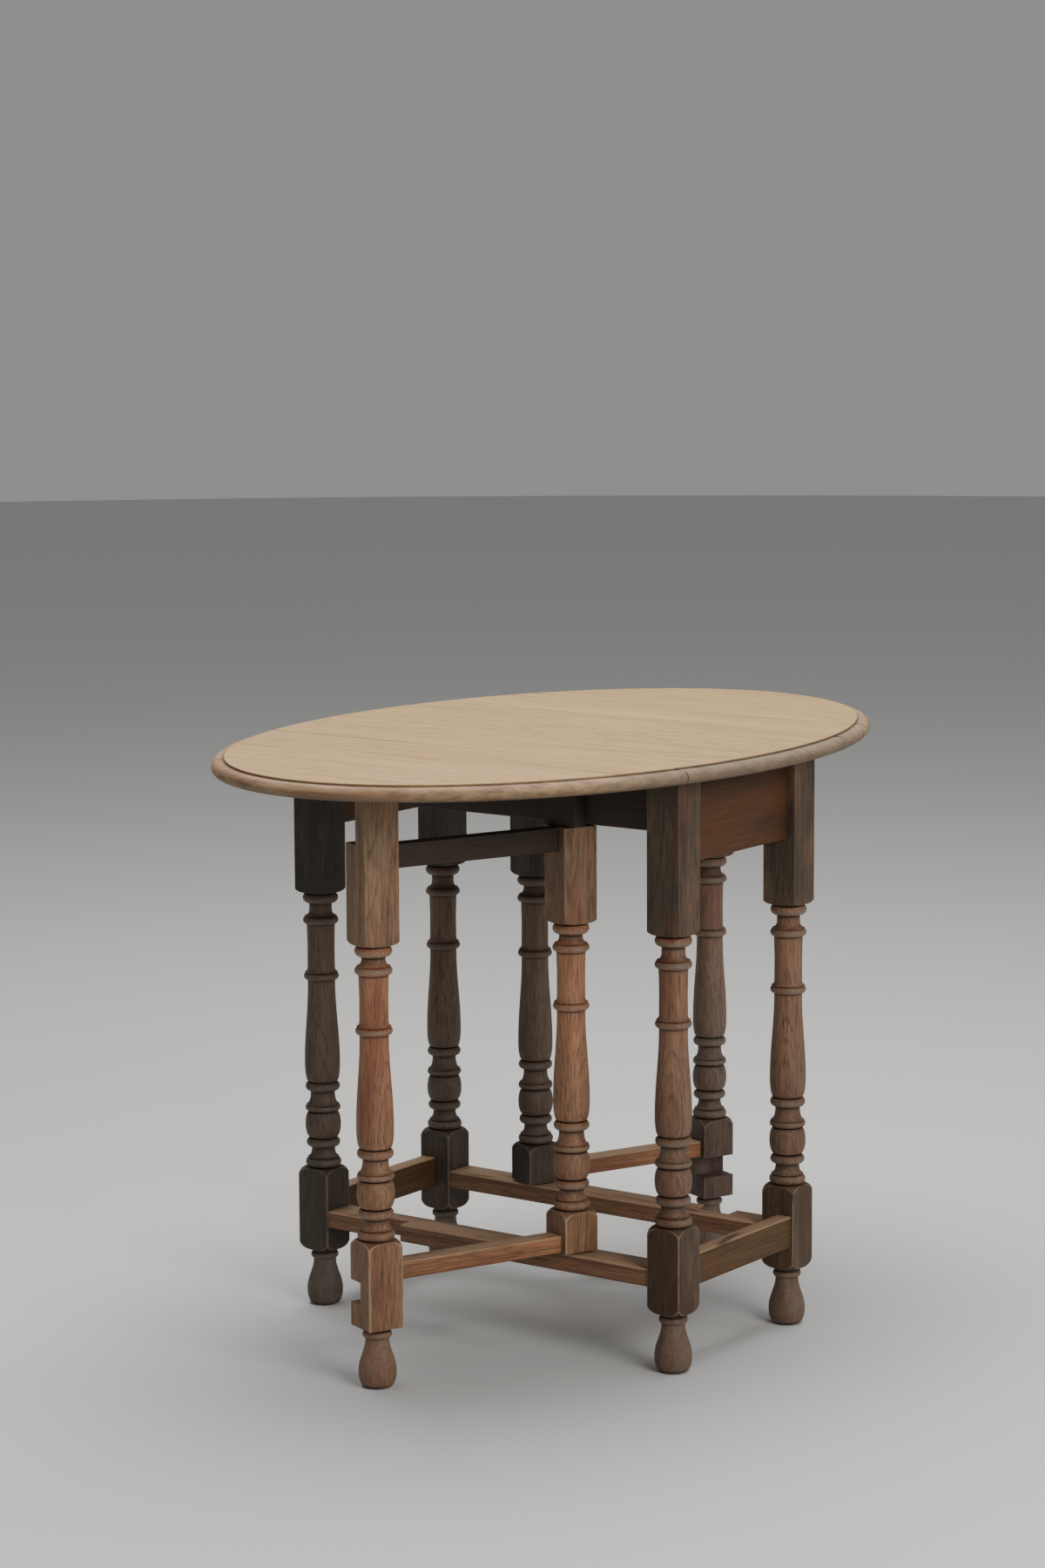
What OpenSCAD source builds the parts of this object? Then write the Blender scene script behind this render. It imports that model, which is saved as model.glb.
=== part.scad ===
// Gate-leg drop-leaf table with an oval top, in oak. The origin is on the floor under the
// middle of the top, X runs along the leaf joints, Y runs across the leaves and Z is up.
// The leaves are up and both gates stand open.

/* [Top] */
// Height of the top face above the floor
top_height = 725; // [700:5:760]
// Thickness of the boards
board_thick = 19; // [18:1:22]
// Half length of the oval, across the leaves
oval_y = 505; // [495:5:520]
// Half width of the oval, along the leaf joints
oval_x = 332; // [326:2:340]
// Distance from the middle to each leaf joint
joint_y = 172; // [168:1:178]
// Width of the moulded edge
mould_width = 15.5; // [14:0.5:18]

/* [Frame] */
// Side of the square leg stock
leg_side = 45; // [42:1:46]
// Distance from the middle to the leg centres, along X
leg_x = 261; // [255:1:265]
// Distance from the middle to the leg centres, along Y
leg_y = 126; // [122:1:128]
// Height of the underside of the long aprons
long_apron_low = 640; // [636:1:650]
// Height of the underside of the end aprons
end_apron_low = 604; // [596:1:620]
// Thickness of the aprons
apron_thick = 22; // [20:1:22]

/* [Gates] */
// Distance from the middle to each gate's pivot, along X
pivot_x = 116; // [110:1:120]
// Distance between a gate's post and its leg, centre to centre
gate_span = 267; // [262:1:268]
// Angle through which each gate stands open
gate_open = 67; // [60:1:75]

/* [Hinges] */
// Distance from the middle to each leaf hinge, along X
hinge_x = 160; // [140:5:180]
// Length of a hinge along its pin
hinge_length = 40; // [36:1:44]

/* [Hidden] */

// Colours
pale_oak = "#b79a78";
red_oak = "#8d5a3a";
dark_oak = "#5f4635";
steel = "#77736c";

// Smoothness of turned work and of small round parts
turned_fn = 48;
small_fn = 24;
// Overlap that carries a cut past the face it opens
past = 1;

// Heights
under_top = top_height - board_thick;
pin_z = under_top + 4;
block_low = 72;
block_low_top = 175;
block_high = 522;
gate_rail_high = [609, 637];
gate_rail_low = [126.5, 147];
long_stretcher_z = [103, 124];
end_stretcher_z = [102, 140];

// Turning radii
half = leg_side / 2;
ring_r = half;
stem_r = 17;
neck_r = 14.5;
foot_flat_r = 15;
corner_r = half * sqrt(2) + 0.3;
low_shoulder = 13;
high_shoulder = 7;
// Gate legs and posts carry their two upper rings a little higher
gate_rise = 5;

// Widths of the rails
stretcher_half = 21;
stretcher_y = [leg_y - stretcher_half, leg_y + stretcher_half];
end_stretcher_thick = 20;
end_stretcher_x = [leg_x - 0.5, leg_x - 0.5 + end_stretcher_thick];
gate_upper_rail_thick = 21;
gate_lower_rail_thick = 26;

// Tenons: their length in a frame leg and in a gate, their thickness, and how much
// lower than its rail each stands above and below
tenon_long = 18;
gate_tenon_long = 15;
tenon_thick = 8;
apron_tenon_inset = 8;
stretcher_tenon_inset = 6;
stretcher_tenon_half = 14;
gate_tenon_inset = 4;

// Half laps between a closed gate's leg and the frame
lap_clear = 0.5;
lap_half_x = half + 2;
leg_notch_low = 100;

// Rule joint: the board's rounded tongue, the gap to the leaf, and the oval's step and roll
tongue_r = 12;
joint_gap = 0.7;
step_h = 3;
roll_r = 8;
oval_steps = 96;

// Hinges
barrel_r = 3.3;
hinge_pin_r = 1.5;
hinge_bore_r = 1.55;
barrel_groove_r = 4;
knuckle_half = 6.5;
knuckle_gap = 0.3;
gain_clear = 1;
flap_z = [under_top + 0.2, under_top + 1.8];
flap_sweep_z = under_top + 2.8;
board_flap_reach = 32;
leaf_flap_reach = 46;
screw_r = 1.5;
screw_head_r = 3.2;
screw_long = 13;

// Gate pivots and leaf stops
pivot_r = 5;
pivot_bore_r = 5.05;
top_clear = 0.5;
stop_size = [52, 16, 12];
stop_gap = 0.4;

// ---- outlines, each a list of [radius, height] points from the bottom up ----

// Half-ellipse bulging out from r0 to r1
function bead(z0, z1, r0, r1, n = 4) =
    [for (i = [0:n]) let (a = 180 * i / n)
        [r0 + (r1 - r0) * sin(a), (z0 + z1) / 2 - (z1 - z0) / 2 * cos(a)]];

// Smooth change of radius between two heights
function ease(z0, r0, z1, r1, n = 6) =
    [for (i = [0:n]) [r0 + (r1 - r0) * (1 - cos(180 * i / n)) / 2, z0 + (z1 - z0) * i / n]];

// Quarter round that swells from r0 to r1
function swell(z0, r0, z1, r1, n = 4) =
    [for (i = [0:n]) [r0 + (r1 - r0) * sin(90 * i / n), z1 - (z1 - z0) * cos(90 * i / n)]];

// Hollow quarter round that narrows from r0 to r1 as it rises
function flare(z0, r0, z1, r1, n = 4) =
    [for (i = [0:n]) [r0 + (r1 - r0) * sin(90 * i / n), z0 + (z1 - z0) * (1 - cos(90 * i / n))]];

// The stem between the two square blocks: base ring, ball between rings, vase and two upper rings
function stem(rise) = concat(
    [[0, block_low_top], [neck_r + 1.5, block_low_top]],
    bead(176, 187, neck_r + 1.5, ring_r),
    flare(188, ring_r - 3, 199, neck_r),
    bead(201, 212, neck_r + 0.5, ring_r - 1.2),
    bead(213, 246, neck_r + 2, ring_r - 0.2, 6),
    bead(247, 254, ring_r - 4, ring_r - 0.4),
    flare(254.5, ring_r - 2, 270, neck_r + 0.5),
    bead(272, 283, neck_r + 1.5, ring_r - 0.8),
    swell(284, 18, 306, ring_r - 0.2),
    ease(308, ring_r - 0.2, 411 + rise, stem_r),
    bead(412 + rise, 425 + rise, stem_r, ring_r),
    bead(482 + rise, 492 + rise, stem_r, ring_r - 0.3),
    flare(493 + rise, ring_r - 3, 501, neck_r - 0.5),
    [[neck_r - 0.5, 507]],
    bead(509, 521, neck_r + 1, ring_r - 0.3),
    [[neck_r + 2, block_high], [0, block_high]]);

// The foot: a baluster that narrows to a fillet ring under the lower block
foot_outline = concat(
    [[0, 0]],
    swell(0, foot_flat_r, 18, ring_r),
    ease(20, ring_r, 57, neck_r - 0.5),
    bead(59, 67, neck_r - 0.5, 17),
    [[neck_r + 1, block_low], [0, block_low]]);

// Round shoulder from the stem's radius out to the stock's corners, reaching deep from height z
function shoulder(z, deep) =
    [for (i = [0:4]) let (a = 90 * i / 4)
        [half + (corner_r - half) * sin(a), z + deep * (1 - cos(a))]];

function reversed(points) = [for (i = [len(points) - 1:-1:0]) points[i]];

// Square stock whose ends are turned down to round shoulders, or cut square where a depth is 0
function shouldered(z0, z1, low, high) = concat(
    [[0, z0]],
    low > 0 ? shoulder(z0, low) : [[corner_r, z0]],
    high > 0 ? reversed(shoulder(z1, -high)) : [[corner_r, z1]],
    [[0, z1]]);

// ---- shared shapes ----

module at(x, y, z = 0) {
    translate([x, y, z]) children();
}

module turned(outline) {
    rotate_extrude($fn = turned_fn) polygon(outline);
}

// Box between two corners
module span(a, b) {
    translate(a) cube(b - a);
}

module block(z0, z1, low, high) {
    intersection() {
        span([-half, -half, z0], [half, half, z1]);
        turned(shouldered(z0, z1, low, high));
    }
}

// A leg from the floor to the given height, with the given shoulder above the foot
module full_leg(top, rise, foot_shoulder) {
    union() {
        turned(foot_outline);
        block(block_low, block_low_top, foot_shoulder, low_shoulder);
        turned(stem(rise));
        block(block_high, top, high_shoulder, 0);
    }
}

// Mirrors a shape made for the near right corner to another one
module corner(sx, sy) {
    mirror([sx < 0 ? 1 : 0, 0, 0]) mirror([0, sy > 0 ? 1 : 0, 0]) children();
}

// Turns the near gate's shapes to the far side
module side(far) {
    rotate([0, 0, far ? 180 : 0]) children();
}

// ---- rail ends, made for the near right corner: the same boxes are the tenons and the mortises ----

long_apron_y = [-leg_y, -leg_y + apron_thick];
end_apron_x = [leg_x - apron_thick / 2, leg_x + apron_thick / 2];
inner_x = leg_x - half;
inner_y = -leg_y + half;

module long_apron_tenon() {
    mid = (long_apron_y[0] + long_apron_y[1]) / 2;
    span([inner_x, mid - tenon_thick / 2, long_apron_low + apron_tenon_inset],
        [inner_x + tenon_long, mid + tenon_thick / 2, under_top - apron_tenon_inset]);
}

module end_apron_tenon() {
    span([leg_x - tenon_thick / 2, inner_y - tenon_long, end_apron_low + apron_tenon_inset],
        [leg_x + tenon_thick / 2, inner_y, under_top - apron_tenon_inset]);
}

module long_stretcher_tenon() {
    span([inner_x, -leg_y - stretcher_tenon_half, long_stretcher_z[0] + stretcher_tenon_inset],
        [inner_x + tenon_long, -leg_y + stretcher_tenon_half, long_stretcher_z[1] - stretcher_tenon_inset]);
}

module end_stretcher_tenon() {
    mid = (end_stretcher_x[0] + end_stretcher_x[1]) / 2;
    span([mid - tenon_thick / 2, inner_y - tenon_long, end_stretcher_z[0] + stretcher_tenon_inset],
        [mid + tenon_thick / 2, inner_y, end_stretcher_z[1] - stretcher_tenon_inset]);
}

module frame_leg(sx, sy) {
    color(dark_oak) corner(sx, sy) difference() {
        at(leg_x, -leg_y) full_leg(under_top, 0, low_shoulder);
        long_apron_tenon();
        end_apron_tenon();
        long_stretcher_tenon();
        end_stretcher_tenon();
    }
}

// ---- frame rails ----

module long_apron(far) {
    color(dark_oak) side(far) difference() {
        union() {
            span([-inner_x, long_apron_y[0], long_apron_low], [inner_x, long_apron_y[1], under_top]);
            long_apron_tenon();
            mirror([1, 0, 0]) long_apron_tenon();
        }
        at(pivot_x, -leg_y) pivot_shaft(long_apron_low - past, upper_pin_z[1], pivot_r);
        for (x = top_screw_x) top_screw(x);
    }
}

module end_apron(sx) {
    color(red_oak) corner(sx, -1) union() {
        span([end_apron_x[0], inner_y, end_apron_low], [end_apron_x[1], -inner_y, under_top]);
        end_apron_tenon();
        mirror([0, 1, 0]) end_apron_tenon();
    }
}

module long_stretcher(far) {
    color(red_oak) side(far) difference() {
        union() {
            span([-inner_x, -stretcher_y[1], long_stretcher_z[0]],
                [inner_x, -stretcher_y[0], long_stretcher_z[1]]);
            long_stretcher_tenon();
            mirror([1, 0, 0]) long_stretcher_tenon();
        }
        // half lap for the closed gate's leg
        at(pivot_x - gate_span, 0)
            span([-lap_half_x, -stretcher_y[1] - past, long_stretcher_z[0] - past],
                [lap_half_x, -leg_y + lap_clear, long_stretcher_z[1] + past]);
        at(pivot_x, -leg_y) pivot_shaft(lower_pin_z[0], lower_pin_z[1], pivot_r);
    }
}

module end_stretcher(sx) {
    color(red_oak) corner(sx, -1) union() {
        span([end_stretcher_x[0], inner_y, end_stretcher_z[0]],
            [end_stretcher_x[1], -inner_y, end_stretcher_z[1]]);
        end_stretcher_tenon();
        mirror([0, 1, 0]) end_stretcher_tenon();
    }
}

// ---- gate pivots ----

upper_pin_z = [614, 684];
lower_pin_z = [106, 150];
pin_end_clear = 0.5;
post_clear = 0.5;
pivot_block_low = gate_rail_high[1] + post_clear + 1;

module pivot_shaft(z0, z1, r) {
    translate([0, 0, z0]) cylinder(r = r, h = z1 - z0, $fn = small_fn);
}

module pivot_block(far) {
    color(dark_oak) side(far) difference() {
        span([pivot_x - half, -leg_y - half, pivot_block_low], [pivot_x + half, -leg_y, under_top]);
        at(pivot_x, -leg_y) pivot_shaft(long_apron_low - 2 * past, upper_pin_z[1], pivot_r);
    }
}

module upper_pivot_pin(far) {
    color(steel) side(far) at(pivot_x, -leg_y) pivot_shaft(upper_pin_z[0], upper_pin_z[1], pivot_r);
}

module lower_pivot_pin(far) {
    color(steel) side(far) at(pivot_x, -leg_y) pivot_shaft(lower_pin_z[0], lower_pin_z[1], pivot_r);
}

// ---- gates, made closed with the pivot at the origin and then swung open ----

module gate_place(far) {
    side(far) at(pivot_x, -leg_y) rotate([0, 0, gate_open]) children();
}

// Tenons on the rail ends, at the post
module gate_rail_tenon(z) {
    span([-half, -tenon_thick / 2, z[0] + gate_tenon_inset],
        [-half + gate_tenon_long, tenon_thick / 2, z[1] - gate_tenon_inset]);
}

// The same tenons at the leg
module gate_leg_tenon(z) {
    at(-gate_span, 0) mirror([1, 0, 0]) gate_rail_tenon(z);
}

module gate_post(far) {
    color(red_oak) gate_place(far) difference() {
        union() {
            block(gate_rail_low[0], block_low_top, 0, low_shoulder);
            turned(stem(gate_rise));
            block(block_high, gate_rail_high[1] + post_clear, high_shoulder, 0);
        }
        gate_rail_tenon(gate_rail_high);
        gate_rail_tenon(gate_rail_low);
        pivot_shaft(upper_pin_z[0] - pin_end_clear, gate_rail_high[1] + past, pivot_bore_r);
        pivot_shaft(gate_rail_low[0] - past, lower_pin_z[1] + pin_end_clear, pivot_bore_r);
    }
}

module gate_leg(far) {
    color(red_oak) gate_place(far) difference() {
        at(-gate_span, 0) full_leg(under_top - top_clear, gate_rise, 0);
        gate_leg_tenon(gate_rail_high);
        gate_leg_tenon(gate_rail_low);
        leg_notch(long_apron_low - lap_clear, top_height);
        leg_notch(leg_notch_low, gate_rail_low[0] - lap_clear);
    }
}

// Notch in a gate leg's inner side, where it laps the closed frame
module leg_notch(z0, z1) {
    at(-gate_span, 0) span([-half - past, -lap_clear, z0], [half + past, half + past, z1]);
}

module gate_rail(far, z, thick) {
    color(dark_oak) gate_place(far) union() {
        span([-gate_span + half, -thick / 2, z[0]], [-half, thick / 2, z[1]]);
        gate_rail_tenon(z);
        gate_leg_tenon(z);
    }
}

// ---- top ----

// Cross-section of the moulded edge: [distance in from the oval, height]
edge_outline = concat(
    [[mould_width, top_height], [mould_width, top_height - step_h]],
    [for (i = [0:8]) let (a = 180 * i / 8)
        [roll_r * (1 - sin(a)), under_top + roll_r + roll_r * cos(a)]]);

// One solid oval, as rings of points joined by triangles
module oval_top() {
    rings = len(edge_outline);
    points = [for (p = edge_outline) for (i = [0:oval_steps - 1])
        let (a = 360 * i / oval_steps) [(oval_x - p[0]) * cos(a), (oval_y - p[0]) * sin(a), p[1]]];
    side_faces = [for (k = [0:rings - 2]) for (i = [0:oval_steps - 1]) let (j = (i + 1) % oval_steps)
        for (half_face = [0, 1])
            half_face == 0
                ? [k * oval_steps + i, k * oval_steps + j, (k + 1) * oval_steps + j]
                : [k * oval_steps + i, (k + 1) * oval_steps + j, (k + 1) * oval_steps + i]];
    top_face = [[for (i = [oval_steps - 1:-1:0]) i]];
    low_face = [[for (i = [0:oval_steps - 1]) (rings - 1) * oval_steps + i]];
    polyhedron(points = points, faces = concat(side_faces, top_face, low_face));
}

// Extrudes a [y, z] outline along X over the whole width
module along_joint(outline) {
    rotate([90, 0, 90]) linear_extrude(height = 3 * oval_x, center = true) polygon(outline);
}

// Quarter circle about the hinge axis, from above the pin to level with it
function joint_arc(r, start) =
    [for (i = [0:8]) let (a = start - start * i / 8) [joint_y + r * cos(a), pin_z + r * sin(a)]];

half_board_outline = concat(
    [[-past, top_height + past], [joint_y, top_height + past]],
    joint_arc(tongue_r, 90),
    [[joint_y + tongue_r, under_top - past], [-past, under_top - past]]);

cove_r = tongue_r + joint_gap;
leaf_outline = concat(
    [[oval_y + past, top_height + past], [joint_y + joint_gap, top_height + past]],
    joint_arc(cove_r, 90 - asin(joint_gap / cove_r)),
    [[joint_y + cove_r, under_top - past], [oval_y + past, under_top - past]]);

module centre_board() {
    color(pale_oak) difference() {
        intersection() {
            oval_top();
            union() {
                along_joint(half_board_outline);
                mirror([0, 1, 0]) along_joint(half_board_outline);
            }
        }
        for (sx = [-1, 1]) for (sy = [-1, 1]) hinge_place(sx, sy) board_gain();
        for (far = [false, true]) side(far) for (x = top_screw_x) top_screw(x);
        for (sx = [-1, 1]) for (sy = [-1, 1]) hinge_place(sx, sy) flap_screws(board_screw_y);
    }
}

module leaf(far) {
    sy = far ? 1 : -1;
    color(pale_oak) difference() {
        intersection() {
            oval_top();
            mirror([0, far ? 0 : 1, 0]) along_joint(leaf_outline);
        }
        for (sx = [-1, 1]) hinge_place(sx, sy) leaf_gain();
        for (sx = [-1, 1]) hinge_place(sx, sy) flap_screws(leaf_screw_y);
        stop_screw_pair(far);
    }
}

// ---- leaf hinges, made for the far side with the pin axis at y = 0 ----

board_screw_y = [[-13, -12], [13, -12], [0, -25]];
leaf_screw_y = [[-13, 22], [13, 22], [0, 36]];

module hinge_place(sx, sy) {
    translate([sx * hinge_x, sy * joint_y, 0]) mirror([0, sy < 0 ? 1 : 0, 0]) children();
}

module along_pin(r, x0, x1) {
    translate([x0, 0, pin_z]) rotate([0, 90, 0]) cylinder(r = r, h = x1 - x0, $fn = small_fn);
}

hinge_half = hinge_length / 2;
flap_root = barrel_groove_r;

module board_gain() {
    span([-hinge_half, -board_flap_reach, under_top - past], [hinge_half, 0, flap_z[1]]);
    wide = hinge_half + gain_clear;
    span([-wide, -flap_root, under_top - past], [wide, tongue_r + past, flap_sweep_z]);
    along_pin(barrel_groove_r, -wide, wide);
}

module leaf_gain() {
    span([-hinge_half, tongue_r, under_top - past], [hinge_half, leaf_flap_reach, flap_z[1]]);
}

// Countersunk wood screws, driven up from below
module wood_screw() {
    translate([0, 0, flap_z[0]]) {
        cylinder(r1 = screw_head_r, r2 = screw_r, h = flap_z[1] - flap_z[0], $fn = small_fn);
        cylinder(r = screw_r, h = screw_long, $fn = small_fn);
    }
}

module flap_screws(places) {
    for (p = places) at(p[0], p[1]) wood_screw();
}

module board_flap(sx, sy) {
    color(steel) hinge_place(sx, sy) difference() {
        union() {
            span([-hinge_half, -board_flap_reach, flap_z[0]], [hinge_half, -flap_root, flap_z[1]]);
            span([-knuckle_half, -flap_root, flap_z[0]], [knuckle_half, 0, flap_z[1]]);
            along_pin(barrel_r, -knuckle_half, knuckle_half);
        }
        along_pin(hinge_pin_r, -hinge_half - past, hinge_half + past);
        flap_screws(board_screw_y);
    }
}

module leaf_flap(sx, sy) {
    inner = knuckle_half + knuckle_gap;
    color(steel) hinge_place(sx, sy) difference() {
        union() {
            span([-hinge_half, flap_root, flap_z[0]], [hinge_half, leaf_flap_reach, flap_z[1]]);
            for (m = [0, 1]) mirror([m, 0, 0]) {
                span([inner, 0, flap_z[0]], [hinge_half, flap_root, flap_z[1]]);
                along_pin(barrel_r, inner, hinge_half);
            }
        }
        along_pin(hinge_bore_r, -hinge_half - past, hinge_half + past);
        flap_screws(leaf_screw_y);
    }
}

module hinge_pin(sx, sy) {
    color(steel) hinge_place(sx, sy) along_pin(hinge_pin_r, -hinge_half, hinge_half);
}

module board_hinge_screws() {
    color(steel) for (sx = [-1, 1]) for (sy = [-1, 1]) hinge_place(sx, sy) flap_screws(board_screw_y);
}

module leaf_hinge_screws(sy) {
    color(steel) for (sx = [-1, 1]) hinge_place(sx, sy) flap_screws(leaf_screw_y);
}

// ---- screws that hold the top to the long aprons, in pockets bored from below ----

top_screw_x = [-200, -40, 200];
top_screw_head = [680, 4];
top_screw_r = 2.2;
top_screw_head_r = 4.5;
top_screw_long = 38;

// The near apron's screw with the bore that takes its head
module top_screw(x) {
    at(x, -leg_y + apron_thick / 2) {
        pivot_shaft(long_apron_low - past, top_screw_head[0], top_screw_head_r);
        top_screw_body();
    }
}

module top_screw_body() {
    pivot_shaft(top_screw_head[0], top_screw_head[0] + top_screw_head[1], top_screw_head_r);
    pivot_shaft(top_screw_head[0], top_screw_head[0] + top_screw_long, top_screw_r);
}

module top_screws() {
    color(steel) for (far = [false, true]) side(far)
        for (x = top_screw_x) at(x, -leg_y + apron_thick / 2) top_screw_body();
}

// ---- stops under the leaves, one beside each open gate's leg ----

stop_screw_x = [-16, 16];

module stop_place(far) {
    gate_place(far) at(-gate_span, -half - stop_gap - stop_size[1] / 2) children();
}

module leaf_stop(far) {
    color(dark_oak) stop_place(far) difference() {
        span([-stop_size[0] / 2, -stop_size[1] / 2, under_top - stop_size[2]],
            [stop_size[0] / 2, stop_size[1] / 2, under_top]);
        for (x = stop_screw_x) at(x, 0) stop_screw();
    }
}

module stop_screw() {
    z0 = under_top - stop_size[2];
    translate([0, 0, z0]) {
        cylinder(r1 = screw_head_r, r2 = screw_r, h = screw_head_r - screw_r, $fn = small_fn);
        cylinder(r = screw_r, h = 2 * stop_size[2], $fn = small_fn);
    }
}

module stop_screw_pair(far) {
    stop_place(far) for (x = stop_screw_x) at(x, 0) stop_screw();
}

module stop_screws(far) {
    color(steel) stop_screw_pair(far);
}

centre_board();
leaf(false);  // near_leaf
leaf(true);  // far_leaf
frame_leg(-1, -1);  // near_left_leg
frame_leg(1, -1);  // near_right_leg
frame_leg(-1, 1);  // far_left_leg
frame_leg(1, 1);  // far_right_leg
long_apron(false);  // near_long_apron
long_apron(true);  // far_long_apron
end_apron(-1);  // left_end_apron
end_apron(1);  // right_end_apron
long_stretcher(false);  // near_long_stretcher
long_stretcher(true);  // far_long_stretcher
end_stretcher(-1);  // left_end_stretcher
end_stretcher(1);  // right_end_stretcher
pivot_block(false);  // near_pivot_block
pivot_block(true);  // far_pivot_block
upper_pivot_pin(false);  // near_upper_pivot_pin
lower_pivot_pin(false);  // near_lower_pivot_pin
upper_pivot_pin(true);  // far_upper_pivot_pin
lower_pivot_pin(true);  // far_lower_pivot_pin
gate_post(false);  // near_gate_post
gate_leg(false);  // near_gate_leg
gate_rail(false, gate_rail_high, gate_upper_rail_thick);  // near_gate_upper_rail
gate_rail(false, gate_rail_low, gate_lower_rail_thick);  // near_gate_lower_rail
gate_post(true);  // far_gate_post
gate_leg(true);  // far_gate_leg
gate_rail(true, gate_rail_high, gate_upper_rail_thick);  // far_gate_upper_rail
gate_rail(true, gate_rail_low, gate_lower_rail_thick);  // far_gate_lower_rail
leaf_stop(false);  // near_leaf_stop
leaf_stop(true);  // far_leaf_stop
board_flap(-1, -1);  // near_left_board_flap
board_flap(1, -1);  // near_right_board_flap
board_flap(-1, 1);  // far_left_board_flap
board_flap(1, 1);  // far_right_board_flap
leaf_flap(-1, -1);  // near_left_leaf_flap
leaf_flap(1, -1);  // near_right_leaf_flap
leaf_flap(-1, 1);  // far_left_leaf_flap
leaf_flap(1, 1);  // far_right_leaf_flap
hinge_pin(-1, -1);  // near_left_hinge_pin
hinge_pin(1, -1);  // near_right_hinge_pin
hinge_pin(-1, 1);  // far_left_hinge_pin
hinge_pin(1, 1);  // far_right_hinge_pin
board_hinge_screws();
leaf_hinge_screws(-1);  // near_leaf_hinge_screws
leaf_hinge_screws(1);  // far_leaf_hinge_screws
top_screws();
stop_screws(false);  // near_stop_screws
stop_screws(true);  // far_stop_screws
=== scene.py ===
"""Looks of an oval gate-leg table in stripped oak: its turned legs, rails, moulded top, steel and studio."""

import logging
import math
from dataclasses import dataclass, field
from enum import Enum
from typing import Sequence, Union

import bpy
from mathutils import Matrix, Vector


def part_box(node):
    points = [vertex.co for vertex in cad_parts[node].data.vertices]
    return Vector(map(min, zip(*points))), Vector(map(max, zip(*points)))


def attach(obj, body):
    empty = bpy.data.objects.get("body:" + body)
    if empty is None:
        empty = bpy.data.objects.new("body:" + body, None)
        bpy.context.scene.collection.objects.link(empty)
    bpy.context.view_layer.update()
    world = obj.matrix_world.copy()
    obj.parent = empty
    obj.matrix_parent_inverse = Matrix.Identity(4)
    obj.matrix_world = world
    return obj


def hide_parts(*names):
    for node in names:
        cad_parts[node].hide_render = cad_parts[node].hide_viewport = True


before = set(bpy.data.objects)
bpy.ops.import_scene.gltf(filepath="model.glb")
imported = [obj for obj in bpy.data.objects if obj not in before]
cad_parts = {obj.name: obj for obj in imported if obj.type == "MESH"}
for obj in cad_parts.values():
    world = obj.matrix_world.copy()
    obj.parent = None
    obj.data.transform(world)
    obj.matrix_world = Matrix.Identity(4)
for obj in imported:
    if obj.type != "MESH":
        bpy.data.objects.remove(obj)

LOG = logging.getLogger("table")
MM = 0.001
Point = tuple[float, float]
Colour = tuple[float, float, float]
Operand = Union["Wire", float]
GRAIN_DEPTH = 0.6 * MM
PIT_DEPTH = 0.2 * MM
SHEEN_OF_WOOD = 0.35
FIRST_LEG_SEED = 1.7
LEG_SEED_STEP = 3.1


class Cut(Enum):
    """What a tool does to the piece it meets."""

    AWAY = "DIFFERENCE"
    KEEP = "INTERSECT"


class Grain(Enum):
    """The axis of a piece's own frame that its grain follows."""

    ALONG_X = 0
    ALONG_Y = 1
    ALONG_Z = 2


# ---------------------------------------------------------------- modelling


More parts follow.
